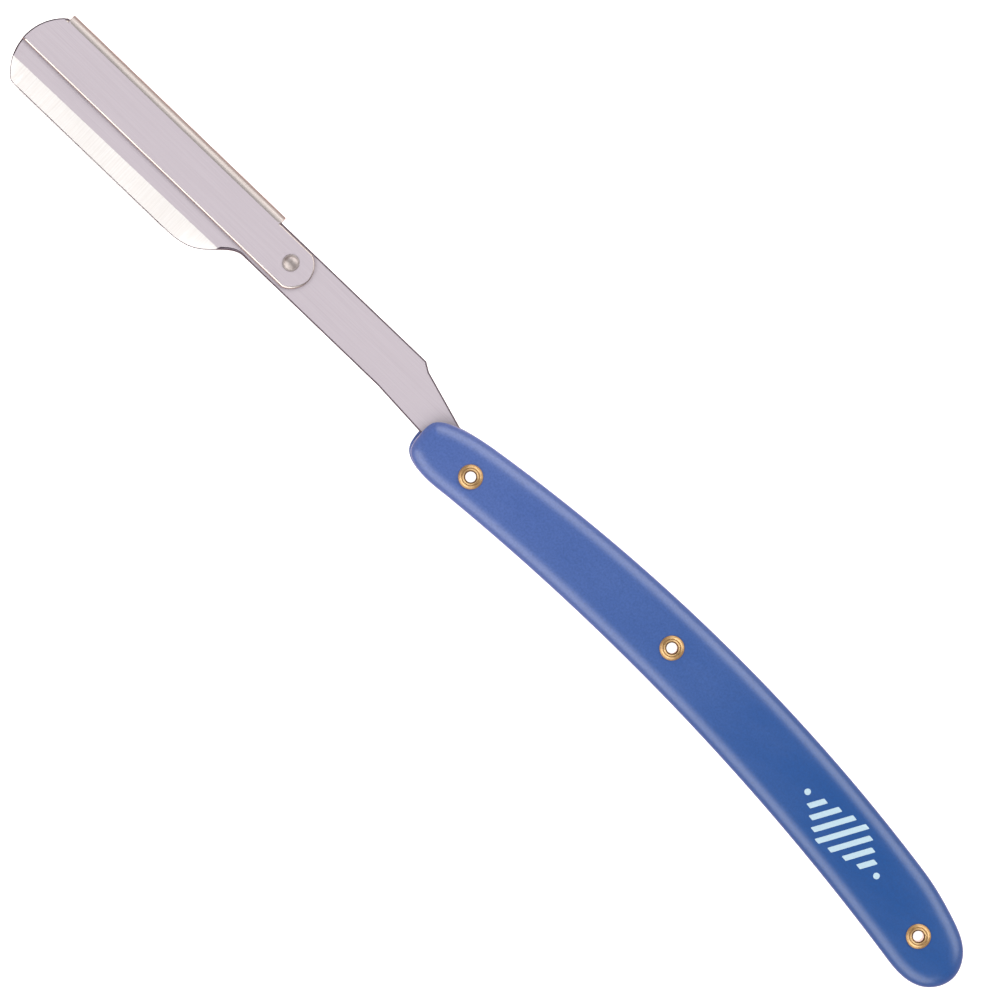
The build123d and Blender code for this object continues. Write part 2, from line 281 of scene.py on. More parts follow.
def inside(loop: Array, points: Array) -> Array:
    """Which points lie inside a loop, by counting the sides that a ray to +x crosses.

    Args:
        loop: Closed loop of points.
        points: Rows of x and y.

    Returns:
        True for each point inside.
    """
    a, b = loop, np.roll(loop, -1, axis=0)
    x, y = points[:, :1], points[:, 1:]
    spans = (a[:, 1] > y) != (b[:, 1] > y)
    with np.errstate(divide="ignore", invalid="ignore"):
        cross = a[:, 0] + (y - a[:, 1]) * (b[:, 0] - a[:, 0]) / (b[:, 1] - a[:, 1])
    return (spans & (x < cross)).sum(1) % 2 == 1


# --- Surfaces -----------------------------------------------------------------------------------------


class Face(IntEnum):
    """Kinds of steel face, in the order of the palette's steels."""

    SATIN = 0
    GROUND = 1
    SHEARED_PAINTED_SHADE = 2
    CUT_PAINTED_SHADE = 3
    ARRIS = 4
    DRAWN = 5


class Side(IntEnum):
    """Where a face of a plate lies, which settles its finish."""

    TOP = 0
    BOTTOM = 1
    RIM = 2
    HOLE = 3
    ARRIS = 4


@dataclass
class Surface:
    """Faces gathered into one shell: blocks of points, of triangles or quads, and of their sides."""

    points: list[Array] = field(default_factory=list)
    faces: list[Array] = field(default_factory=list)
    sides: list[Array] = field(default_factory=list)
    count: int = 0

    def add(self, points: Array, faces: Array, side: int) -> None:
        """Adds a block of faces that count their own points from nought."""
        self.faces.append(faces + self.count)
        self.sides.append(np.full(len(faces), int(side)))
        self.points.append(points)
        self.count += len(points)

    def join(self, other: "Surface") -> None:
        """Adds all of another shell's blocks."""
        self.faces += [block + self.count for block in other.faces]
        self.sides += other.sides
        self.points += other.points
        self.count += other.count

    def bands(self, rings: Array, side: int) -> None:
        """Adds the quads between closed rings that follow one another.

        Args:
            rings: Array of ring, point and coordinate.
            side: Side for the new faces.
        """
        number, size = rings.shape[:2]
        i, j = np.meshgrid(np.arange(number - 1), np.arange(size), indexing="ij")
        k = (j + 1) % size
        quads = np.stack([i * size + j, i * size + k, (i + 1) * size + k, (i + 1) * size + j], axis=-1)
        self.add(rings.reshape(-1, 3), quads.reshape(-1, 4), side)

    def all_points(self) -> Array:
        """All points as one array."""
        return np.vstack(self.points)

    def centres(self) -> Array:
        """Middle of each face, the mean of its corners."""
        points = self.all_points()
        return np.vstack([points[block].mean(axis=1) for block in self.faces])


@dataclass
class Plate:
    """Piece cut from sheet or moulded flat: an outline with holes and a worked rim.

    Attributes:
        outline: Anticlockwise loop.
        top: Height of the top face at given points.
        bottom: Height of the bottom face at given points.
        top_rim: Rows of inset and drop, from the top face out to the rim.
        low_rim: The same for the bottom face.
        holes: Loops of the round holes.
        creases: Lines that faces don't cross.
        inner_points: Further points of both faces.
        rim_share: How much of the rim's profile each point of the outline gets.
        arris_steps: How many of the top rim's bands make the arris.
    """

    outline: Array
    top: Height
    bottom: Height
    top_rim: Array
    low_rim: Array
    holes: list[Array] = field(default_factory=list)
    creases: list[Array] = field(default_factory=list)
    inner_points: Array = field(default_factory=lambda: np.zeros((0, 2)))
    rim_share: Height | None = None
    arris_steps: int = 0

    def surface(self) -> Surface:
        """Builds the closed shell.

        The rim is a stack of inset copies of the outline, each dropped by the rim's profile. Each
        face is a triangulation of its innermost ring with the holes and creases kept as edges.

        Returns:
            The shell, with a side for each face.
        """
        shell = Surface()
        upper = [self._ring(step, self.top, -1) for step in self.top_rim]
        lower = [self._ring(step, self.bottom, 1) for step in self.low_rim]
        shell.bands(np.stack(upper + lower[::-1]), Side.RIM)
        shell.sides[0][: self.arris_steps * len(self.outline)] = Side.ARRIS
        for height, ring, side in ((self.top, upper[0], Side.TOP), (self.bottom, lower[0], Side.BOTTOM)):
            flat, triangles = self._face(ring[:, :2])
            shell.add(np.column_stack([flat, height(flat)]), triangles, side)
        for hole in self.holes:
            walls = [np.column_stack([hole, height(hole)]) for height in (self.top, self.bottom)]
            shell.bands(np.stack(walls), Side.HOLE)
        return shell

    def _ring(self, step: Array, height: Height, way: int) -> Array:
        """One ring of the rim: the outline moved in, at the face's height less its drop.

        Args:
            step: The ring's inset and drop.
            height: The face's height.
            way: Which way the drop goes: -1 from the top face, 1 from the bottom face.

        Returns:
            The ring's points.
        """
        share = 1.0 if self.rim_share is None else self.rim_share(self.outline)
        loop = inset(self.outline, step[0] * share)
        return np.column_stack([loop, height(loop) + way * step[1] * share])

    def _face(self, ring: Array) -> tuple[Array, Array]:
        """Triangulates a face.

        Args:
            ring: The face's outer edge.

        Returns:
            The face's points, and its triangles, anticlockwise.
        """
        loops = [ring, *self.holes]
        starts = np.cumsum([0] + [len(loop) for loop in loops])
        edges = [np.column_stack([np.arange(len(loop)), (np.arange(len(loop)) + 1) % len(loop)]) + start
                 for loop, start in zip(loops, starts)]
        kept = [self._clear(crease, ring) for crease in self.creases]
        for crease in kept:
            start = sum(len(loop) for loop in loops)
            edges.append(np.column_stack([np.arange(len(crease) - 1), np.arange(1, len(crease))]) + start)
            loops.append(crease)
        loops.append(self._clear(self.inner_points, ring, 0.12))
        points, _, faces, *_ = delaunay_2d_cdt(
            np.vstack(loops).tolist(), np.vstack(edges).tolist(), [], 1, 1e-5)
        flat = np.array([(p[0], p[1]) for p in points])
        triangles = np.array(faces)
        middle = flat[triangles].mean(axis=1)
        keep = inside(ring, middle)
        for hole in self.holes:
            keep &= ~inside(hole, middle)
        return flat, triangles[keep]

    def _clear(self, points: Array, ring: Array, gap: float = 0.02) -> Array:
        """The points inside a face, outside its holes, and not nearer its edges than a gap.

        Args:
            points: Rows of x and y.
            ring: The face's outer edge.
            gap: Least distance from the edges.

        Returns:
            The points that stay.
        """
        if not len(points):
            return points
        keep = inside(ring, points) & (distance_to(ring, points) > gap)
        for hole in self.holes:
            keep &= ~inside(hole, points) & (distance_to(hole, points) > gap)
        return points[keep]


def lathe(profile: Array, centre: Point, count: int = 96) -> Surface:
    """Turns a profile about an upright axis.

    Args:
        profile: Closed loop of rows of radius and height, or an open one that ends on the axis.
        centre: Where the axis stands.
        count: Steps round the axis.

    Returns:
        The turned shell.
    """
    angles = np.arange(count) / count * 2 * math.pi
    radius, height = profile[:, :1], profile[:, 1:]
    rings = np.stack([
        centre[0] + radius * np.cos(angles), centre[1] + radius * np.sin(angles),
        np.broadcast_to(height, (len(profile), count))], axis=-1)
    if profile[0, 0] > WELD and profile[-1, 0] > WELD:
        rings = np.concatenate([rings, rings[:1]])
    shell = Surface()
    shell.bands(rings, Side.TOP)
    return shell


def rounded(corners: Sequence[tuple[float, float, float]], steps: int = 6) -> Array:
    """Polygon whose corners are rounded by a quadratic curve.

    Args:
        corners: Rows of x, y and how far the rounding reaches along both sides.
        steps: Points of each rounding, less one.

    Returns:
        The loop's points.
    """
    rows = np.array(corners, float)
    at, reach = rows[:, :2], rows[:, 2:]
    to_next = np.roll(at, -1, axis=0) - at
    to_next /= np.linalg.norm(to_next, axis=1)[:, None]
    to_last = -np.roll(to_next, 1, axis=0)
    t = np.linspace(0, 1, steps + 1)[None, :, None]
    first, last = (at + to_last * reach)[:, None], (at + to_next * reach)[:, None]
    curve = (1 - t) ** 2 * first + 2 * t * (1 - t) * at[:, None] + t**2 * last
    loop = curve.reshape(-1, 2)
    return loop[np.linalg.norm(loop - np.roll(loop, 1, axis=0), axis=1) > 1e-4]


def quarter_rim(reach: float, drop: float, steps: int = 10, power: float = 2.0) -> Array:
    """Rows of inset and drop of a rounded rim, a quarter of a superellipse from face to side."""
    angle = np.linspace(0, math.pi / 2, steps + 1)
    across, down = np.sin(angle) ** (2 / power), np.cos(angle) ** (2 / power)
    return np.column_stack([reach * (1 - across), drop * (1 - down)])


# --- Finishes -----------------------------------------------------------------------------------------


class Graph:
    """Adds shader nodes to one new material."""

    def __init__(self, name: str) -> None:
        """Makes the material with a plain surface shader.

        Args:
            name: The material's name.
        """
        self.material = bpy.data.materials.new(name)
        self.material.use_nodes = True
        self.nodes = self.material.node_tree.nodes
        self.links = self.material.node_tree.links
        self.shader = next(n for n in self.nodes if n.type == "BSDF_PRINCIPLED")
        self.place = self.node("ShaderNodeTexCoord").outputs["Object"]

    def node(self, kind: str, inputs: dict | None = None, **settings: object) -> bpy.types.Node:
        """Adds a node.

        Args:
            kind: The node's type.
            inputs: Values or outputs for its inputs.
            settings: Values for its own settings.

        Returns:
            The new node.
        """
        node = self.nodes.new(kind)
        for key, value in settings.items():
            setattr(node, key, value)
        for key, value in (inputs or {}).items():
            self.put(node.inputs[key], value)
        return node

    def put(self, socket: bpy.types.NodeSocket, value: object) -> None:
        """Links an output to a socket, or sets the socket's own value."""
        if isinstance(value, bpy.types.NodeSocket):
            self.links.new(value, socket)
        else:
            socket.default_value = value

    def surface(self, **values: object) -> None:
        """Sets the surface shader's inputs, named with underscores for spaces."""
        for key, value in values.items():
            self.put(self.shader.inputs[key.replace("_", " ")], value)

    def stretched(self, scale: tuple[float, float, float], turn: float = 0.0) -> bpy.types.NodeSocket:
        """Object coordinates turned about Z and then scaled.

        Args:
            scale: Scale along each turned axis.
            turn: Angle of the turned X axis from the frame's, in radians.

        Returns:
            The vector output.
        """
        turned = self.node("ShaderNodeMapping", {"Vector": self.place, "Rotation": (0, 0, -turn)})
        scaled = self.node("ShaderNodeVectorMath", {0: turned.outputs[0], 1: scale}, operation="MULTIPLY")
        return scaled.outputs[0]

    def noise(self, vector: bpy.types.NodeSocket, scale: float, detail: float = 3.0,
              roughness: float = 0.5) -> bpy.types.NodeSocket:
        """Noise from nought to one.

        Args:
            vector: Where the noise is read.
            scale: Cells in one unit of the vector.
            detail: Octaves.
            roughness: Share that each octave keeps.

        Returns:
            The noise's value.
        """
        inputs = {"Vector": vector, "Scale": scale, "Detail": detail, "Roughness": roughness}
        return self.node("ShaderNodeTexNoise", inputs).outputs[0]

    def ramp(self, value: object, low: float, high: float, to_low: float,
             to_high: float) -> bpy.types.NodeSocket:
        """Maps one range of a value to another, clamped."""
        inputs = {0: value, 1: low, 2: high, 3: to_low, 4: to_high}
        return self.node("ShaderNodeMapRange", inputs).outputs[0]

    def mix(self, share: object, low: object, high: object) -> bpy.types.NodeSocket:
        """Mixes two colours.

        Args:
            share: Share of the second colour.
            low: First colour.
            high: Second colour.

        Returns:
            The mixed colour.
        """
        node = self.node("ShaderNodeMix", data_type="RGBA")
        for socket, value in zip((node.inputs[0], node.inputs[6], node.inputs[7]), (share, low, high)):
            self.put(socket, value)
        return node.outputs[2]

    def bump(self, height: bpy.types.NodeSocket, strength: float, distance_mm: float,
             under: bpy.types.NodeSocket | None = None) -> bpy.types.NodeSocket:
        """Bump from a height.

        Args:
            height: The height, from nought to one.
            strength: The bump's strength.
            distance_mm: What a height of one stands for.
            under: Another bump that this one lies on.

        Returns:
            The normal.
        """
        inputs = {"Strength": strength, "Distance": distance_mm * MM, "Height": height}
        if under is not None:
            inputs["Normal"] = under
        return self.node("ShaderNodeBump", inputs).outputs[0]


def rgba(red: float, green: float, blue: float) -> tuple[float, float, float, float]:
    """An opaque colour."""
    return red, green, blue, 1.0


@dataclass(frozen=True)
class MouldedPlastic:
    """Satin-gloss moulded plastic, with painted shade: deeper in colour towards one end, where less light falls.
    """

    name: str
    near: tuple[float, float, float]
    far: tuple[float, float, float]
    painted_light_end_x: float = 0.0
    painted_shade_end_x: float = 92.0
    roughness: float = 0.36
    coat: float = 0.16
    peel_mm: float = 0.004

    def material(self) -> bpy.types.Material:
        """Builds the material.

        Returns:
            The plastic, with painted shade deepening along X, drifting colour, moulding ripple, fine grain and
            handling marks.
        """
        g = Graph(self.name)
        x = g.node("ShaderNodeSeparateXYZ", {0: g.place}).outputs[0]
        # Painted shade: the colour deepens from the near end to the far end, standing in for light falling off
        # along the handle.
        along = g.ramp(x, self.painted_light_end_x * MM, self.painted_shade_end_x * MM, 0.0, 1.0)
        colour = g.mix(along, rgba(*self.near), rgba(*self.far))
        cloud = g.noise(g.stretched((1.0, 2.2, 2.2), 0.1), 55.0, 4.0, 0.55)
        paler = g.mix(0.05, colour, rgba(0.20, 0.27, 0.50))
        colour = g.mix(g.ramp(cloud, 0.38, 0.72, 0.0, 1.0), colour, paler)
        grain = g.noise(g.place, 2600.0, 2.0)
        colour = g.mix(g.ramp(grain, 0.3, 0.75, 0.0, 0.42), colour, rgba(0.006, 0.03, 0.12))
        marks = g.noise(g.stretched((90.0, 2400.0, 2400.0), 0.35), 1.0, 2.0, 0.6)
        rough = g.ramp(marks, 0.55, 0.8, self.roughness, self.roughness + 0.1)
        ripple = g.bump(g.noise(g.place, 420.0, 2.0), 0.35, self.peel_mm)
        g.surface(Base_Color=colour, Roughness=rough, Coat_Weight=self.coat, Coat_Roughness=0.3,
                  Specular_IOR_Level=0.5, Normal=g.bump(grain, 0.25, self.peel_mm / 2, ripple))
        return g.material


class Grain(Enum):
    """Which way the fine lines of a steel face run."""

    ALONG = (60.0, 5200.0, 5200.0)
    ACROSS = (3600.0, 85.0, 85.0)
    NONE = (2400.0, 2400.0, 2400.0)


@dataclass(frozen=True)
class Steel:
    """Steel with a ground, satin or sheared face."""

    name: str
    colour: tuple[float, float, float]
    shade: tuple[float, float, float]
    roughness: float
    grain: Grain
    contrast: float = 0.25
    bump_mm: float = 0.0012
    turn: float = 0.0

    def material(self) -> bpy.types.Material:
        """Builds the material.

        Returns:
            The steel, with grain, faint clouds and hairline scratches.
        """
        g = Graph(self.name)
        lines = g.noise(g.stretched(self.grain.value, self.turn), 1.0, 4.0, 0.62)
        clouds = g.noise(g.place, 90.0, 3.0, 0.5)
        colour = g.mix(g.ramp(lines, 0.35, 0.75, 0.0, self.contrast), rgba(*self.colour), rgba(*self.shade))
        colour = g.mix(g.ramp(clouds, 0.4, 0.75, 0.0, 0.35 * self.contrast), colour, rgba(*self.shade))
        hair = g.noise(g.stretched((40.0, 7000.0, 7000.0), self.turn + 0.5), 1.0, 1.0)
        rough = g.ramp(lines, 0.3, 0.75, self.roughness - 0.03, self.roughness + 0.06)
        scored = g.bump(hair, 0.15, self.bump_mm)
        g.surface(Base_Color=colour, Metallic=1.0, Roughness=rough,
                  Normal=g.bump(lines, 0.5, self.bump_mm, scored))
        return g.material


@dataclass(frozen=True)
class Brass:
    """Pressed and turned brass, a little tarnished."""

    name: str
    colour: tuple[float, float, float]
    tarnish: tuple[float, float, float]
    roughness: float
    tarnish_share: float = 0.35

    def material(self) -> bpy.types.Material:
        """Builds the material.

        Returns:
            The brass, with patches of tarnish and fine pits.
        """
        g = Graph(self.name)
        patches = g.noise(g.place, 900.0, 4.0, 0.6)
        share = g.ramp(patches, 0.42, 0.75, 0.0, self.tarnish_share)
        colour = g.mix(share, rgba(*self.colour), rgba(*self.tarnish))
        pits = g.noise(g.place, 5200.0, 2.0)
        rough = g.ramp(patches, 0.35, 0.8, self.roughness, self.roughness + 0.15)
        g.surface(Base_Color=colour, Metallic=1.0, Roughness=rough, Coat_Weight=0.4, Coat_Roughness=0.2,
                  Normal=g.bump(pits, 0.3, 0.002))
        return g.material


@dataclass(frozen=True)
class Ink:
    """Pad-printed ink with a soft, slightly uneven face."""

    name: str
    colour: tuple[float, float, float]
    thin: tuple[float, float, float]

    def material(self) -> bpy.types.Material:
        """Builds the material.

        Returns:
            The ink, a little thinner in specks.
        """
        g = Graph(self.name)
        specks = g.noise(g.place, 3800.0, 3.0, 0.6)
        colour = g.mix(g.ramp(specks, 0.5, 0.8, 0.0, 0.5), rgba(*self.colour), rgba(*self.thin))
        g.surface(Base_Color=colour, Roughness=0.45, Normal=g.bump(specks, 0.3, 0.002))
        return g.material


@dataclass(frozen=True)
class Fibre:
    """Dull moulded or pressed spacer material."""

    name: str
    colour: tuple[float, float, float]
    fleck: tuple[float, float, float]

    def material(self) -> bpy.types.Material:
        """Builds the material.

        Returns:
            The spacer material, flecked and matt.
        """
        g = Graph(self.name)
        flecks = g.noise(g.place, 1500.0, 4.0, 0.6)
        colour = g.mix(g.ramp(flecks, 0.4, 0.7, 0.0, 0.6), rgba(*self.colour), rgba(*self.fleck))
        rough = g.ramp(flecks, 0.3, 0.8, 0.45, 0.65)
        g.surface(Base_Color=colour, Roughness=rough, Normal=g.bump(flecks, 0.3, 0.01))
        return g.material


HEAD_TILT = math.radians(1.91)


@dataclass
class Palette:
    """All the razor's finishes, each built once."""

    blue: bpy.types.Material
    satin: bpy.types.Material
    ground: bpy.types.Material
    drawn: bpy.types.Material
    sheared: bpy.types.Material
    cut: bpy.types.Material
    arris: bpy.types.Material
    rivet: bpy.types.Material
    blade: bpy.types.Material
    honed: bpy.types.Material
    brass: bpy.types.Material
    rolled: bpy.types.Material
    bore: bpy.types.Material
    ink: bpy.types.Material
    fibre: bpy.types.Material

    @classmethod
    def mix(cls) -> "Palette":
        """Builds every finish.

        Returns:
            The palette.
        """
        tilt = HEAD_TILT
        return cls(
            # The blue's near and far colours are painted light and shade along the handle, lighter at the pivot
            # end.
            blue=MouldedPlastic("blue_plastic", (0.045, 0.0895, 0.274), (0.0022, 0.049, 0.195)).material(),
            satin=Steel("satin_steel", (0.467, 0.44, 0.478), (0.393, 0.364, 0.397), 0.72, Grain.ALONG,
                        0.16, 0.0010, tilt).material(),
            ground=Steel("ground_steel", (0.64, 0.635, 0.622), (0.45, 0.425, 0.40), 0.32, Grain.ACROSS,
                         0.5, 0.0016, tilt).material(),
            drawn=Steel("drawn_steel", (0.335, 0.312, 0.303), (0.26, 0.24, 0.23), 0.50, Grain.ALONG,
                        0.25, 0.0010, tilt).material(),
            # Partly real, partly painted shade: a sheared edge's dull steel, darkened to near black to stand in
            # for the shade and dark reflections along the rims.
            sheared=Steel("sheared_steel", (0.085, 0.07, 0.085), (0.04, 0.033, 0.04), 0.4, Grain.NONE,
                          0.6, 0.004).material(),
            # Painted shade: the cut edge's steel is dark and brown, standing in for the shadow line along the
            # cover's edges.
            cut=Steel("cut_steel", (0.36, 0.27, 0.24), (0.22, 0.16, 0.14), 0.4, Grain.NONE,
                      0.4, 0.003).material(),
            arris=Steel("bright_arris", (0.37, 0.345, 0.33), (0.28, 0.25, 0.23), 0.34, Grain.ALONG,
                        0.3, 0.001, tilt).material(),
            rivet=Steel("rivet_steel", (0.375, 0.345, 0.335), (0.17, 0.145, 0.14), 0.5, Grain.NONE,
                        0.5, 0.03).material(),
            blade=Steel("blade_steel", (0.80, 0.79, 0.78), (0.66, 0.65, 0.64), 0.45, Grain.ACROSS,
                        0.25, 0.0008, tilt).material(),
            honed=Steel("honed_edge", (0.97, 0.95, 0.94), (0.85, 0.82, 0.80), 0.52, Grain.ACROSS,
                        0.3, 0.0008, tilt).material(),
            brass=Brass("brass", (0.43, 0.285, 0.13), (0.26, 0.15, 0.06), 0.42).material(),
            # Painted light and shade: the tube's brass is lighter than the collars' for the bright ring on its
            # rolled ends, and darker, more tarnished inside the bore for the shade there.
            rolled=Brass("rolled_brass", (0.56, 0.40, 0.20), (0.34, 0.20, 0.09), 0.4).material(),
            bore=Brass("bore_brass", (0.38, 0.24, 0.115), (0.16, 0.09, 0.04), 0.4, 0.6).material(),
            ink=Ink("pale_ink", (0.315, 0.44, 0.51), (0.24, 0.36, 0.45)).material(),
            fibre=Fibre("spacer_fibre", (0.035, 0.055, 0.13), (0.06, 0.09, 0.18)).material(),
        )

    def steels(self) -> list[bpy.types.Material]:
        """The sheet steels' finishes, in the order of Face."""
        return [self.satin, self.ground, self.sheared, self.cut, self.arris, self.drawn]


# --- Pieces -------------------------------------------------------------------------------------------


def head_to_frame(points: Array) -> Array:
    """Turns rows of u, v and height into the frame's axes.

    Args:
        points: Rows of u, v and z.

    Returns:
        Rows of x, y and z.
    """
    u, v = points[:, 0], points[:, 1]
    c, s = math.cos(HEAD_TILT), math.sin(HEAD_TILT)
    return np.column_stack([-c * u + s * v, -s * u - c * v, points[:, 2]])


@dataclass(frozen=True)
class Fitting:
    """How a finished piece joins the frame."""

    name: str
    body: str
    slot: str
    replaces: tuple[str, ...] = ()


def finish_piece(fitting: Fitting, shell: Surface, materials: Sequence[bpy.types.Material],
                 choose: Callable[[Array, Array], Array] | None = None, in_head: bool = False,
                 sharp: float = 32.0) -> bpy.types.Object:
    """Makes the object of a shell, dresses it and fits it to the frame.

    Args:
        fitting: The piece's name, body, slot and the nodes that it stands for.
        shell: The faces, in millimetres.
        materials: The finishes that the faces choose from.
        choose: Gives each face's finish from its centre and side; without it all take the first.
        in_head: Whether the shell is drawn in u and v.
        sharp: Angle between faces, in degrees, past which an edge is shaded sharp.

    Returns:
        The object.
    """
    points = shell.all_points()
    mesh = bpy.data.meshes.new(fitting.name)
    placed = head_to_frame(points) if in_head else points
    mesh.from_pydata((placed * MM).tolist(), [], [face for block in shell.faces for face in block.tolist()])
    for material in materials:
        mesh.materials.append(material)
    if choose is not None:
        kinds = choose(shell.centres(), np.concatenate(shell.sides))
        mesh.polygons.foreach_set("material_index", kinds.astype(np.int32))
    work = bmesh.new()
    work.from_mesh(mesh)
    bmesh.ops.remove_doubles(work, verts=work.verts, dist=WELD)
    bmesh.ops.dissolve_degenerate(work, edges=work.edges, dist=WELD / 10)
    bmesh.ops.recalc_face_normals(work, faces=work.faces)
    work.to_mesh(mesh)
    work.free()
    mesh.shade_smooth()
    mesh.set_sharp_from_angle(angle=math.radians(sharp))
    piece = bpy.data.objects.new(fitting.name, mesh)
    bpy.context.scene.collection.objects.link(piece)
    even = piece.modifiers.new("even_shading", "WEIGHTED_NORMAL")
    even.keep_sharp = True
    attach(piece, fitting.body)
    if fitting.replaces:
        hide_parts(*fitting.replaces)
    log.info("%s: %d faces on %s", fitting.name, len(mesh.polygons), fitting.body)
    return piece


@dataclass
class ScaleRim:
    """The scales' rim: two long arcs, closed round the nose and the tail.

    The nose's points are shares of its reach and width, the tail's are distances from its tip and
    shares of its width.
    """

    reach: float = 12.4
    tail_reach: float = 10.3
    tail_round: float = 8.0
    nose_width: float = 12.6
    middle_width: float = 15.18
    tail_width: float = 15.55
    end_lift: float = 0.65
    back_end_rise: float = 0.9
    belly_end_rise: float = 0.1
    bow_rise: float = 4.75
    nose_shape: tuple[Point, ...] = (
        (-0.645, 0.387), (-0.853, 0.288), (-0.968, 0.183), (-1.0, -0.07), (-0.925, -0.355), (-0.52, -0.493))
    tail_shape: tuple[Point, ...] = (
        (-8.3, 0.452), (-2.3, 0.26), (0.0, -0.05), (-2.6, -0.375), (-7.6, -0.476))
    spacing: float = 0.6
    within: float = 0.0

    def loop(self) -> Array:
        """Draws the rim.

        Returns:
            The closed loop, anticlockwise.
        """
        span = LAYOUT.rivets["end"][0]
        widths = (self.nose_width, self.middle_width, self.tail_width)
        nose, middle, tail = (width - 2 * self.within for width in widths)
        tip = span + self.tail_reach - self.within
        back_end = (span - self.tail_round, self.end_lift + self.back_end_rise + tail / 2)
        belly_end = (span - self.tail_round / 4, self.end_lift + self.belly_end_rise - tail / 2)
        back = arc((0, self.end_lift + nose / 2), (span / 2, self.bow_rise + middle / 2), back_end,
                   self.spacing)
        belly = arc((0, self.end_lift - nose / 2), (span / 2, self.bow_rise - middle / 2), belly_end,
                    self.spacing)
        front = spline(
            [back[0], *((along * self.reach, across * nose) for along, across in self.nose_shape), belly[0]],
            back[0] - back[1], belly[1] - belly[0], 0.4)
        end = spline(
            [back[-1], *((tip + along, across * tail) for along, across in self.tail_shape), belly[-1]],
            back[-1] - back[-2], belly[-2] - belly[-1], 0.4)
        return closed(back, end, belly[::-1], front[::-1])


@dataclass
class Scale:
    """One of the handle's two moulded scales: rounded rim, slightly crowned face, three holes."""

    node: str
    side: int
    reach: float
    hole_radius: float = 1.4
    bow_rise: float = 4.75
    edge_reach: float = 3.0
    edge_drop: float = 1.5
    crown_drop: float = 0.55
    back_crown: float = 5.6
    belly_crown: float = 7.4
    crown_blend: float = 4.0
    inner_break: float = 0.35
    grid: float = 1.1

    def __post_init__(self) -> None:
        """Draws the rim once."""
        self.rim = ScaleRim(self.reach).loop()

    def face(self, points: Array) -> Array:
        """Height of the outer face: full along the middle, falling as the square towards the rim.

        The fall reaches further in on the belly's side than on the back's, and the one passes to
        the other across the parabola that is the scale's centre line.

        Args:
            points: Rows of x and y.

        Returns:
            The height at each point.
        """
        span = LAYOUT.rivets["end"][0]
        centre = self.bow_rise * (1 - np.clip(np.abs(2 * points[:, 0] / span - 1), 0, 1.2) ** 2)
        belly = np.clip((centre - points[:, 1]) / self.crown_blend + 0.5, 0, 1)
        reach = self.back_crown + (self.belly_crown - self.back_crown) * belly
        deep = np.minimum(distance_to(self.rim, points), reach)
        return LAYOUT.outer_z - self.crown_drop * (1 - deep / reach) ** 2

    def build(self, palette: Palette) -> bpy.types.Object:
        """Builds the scale.

        Args:
            palette: The razor's finishes.

        Returns:
            The scale's object.
        """
        low, high = self.rim.min(0), self.rim.max(0)
        rows = np.arange(low[1], high[1], self.grid * math.sqrt(0.75))
        columns = np.arange(low[0], high[0], self.grid)
        x, y = np.meshgrid(columns, rows)
        x = x + (np.arange(len(rows)) % 2)[:, None] * self.grid / 2
        plate = Plate(
            outline=self.rim,
            top=self.face,
            bottom=lambda points: np.full(len(points), LAYOUT.slot_half),
            top_rim=quarter_rim(self.edge_reach, self.edge_drop, 18),
            low_rim=quarter_rim(self.inner_break, self.inner_break, 3),
            holes=[circle(place, self.hole_radius) for place in LAYOUT.rivets.values()],
            inner_points=np.column_stack([x.ravel(), y.ravel()]),
        )
        shell = plate.surface()
        shell.points = [p * (1, 1, self.side) for p in shell.points]
        return finish_piece(Fitting("moulded_" + self.node, "handle", "blue_plastic", (self.node,)),
                            shell, [palette.blue], sharp=50)


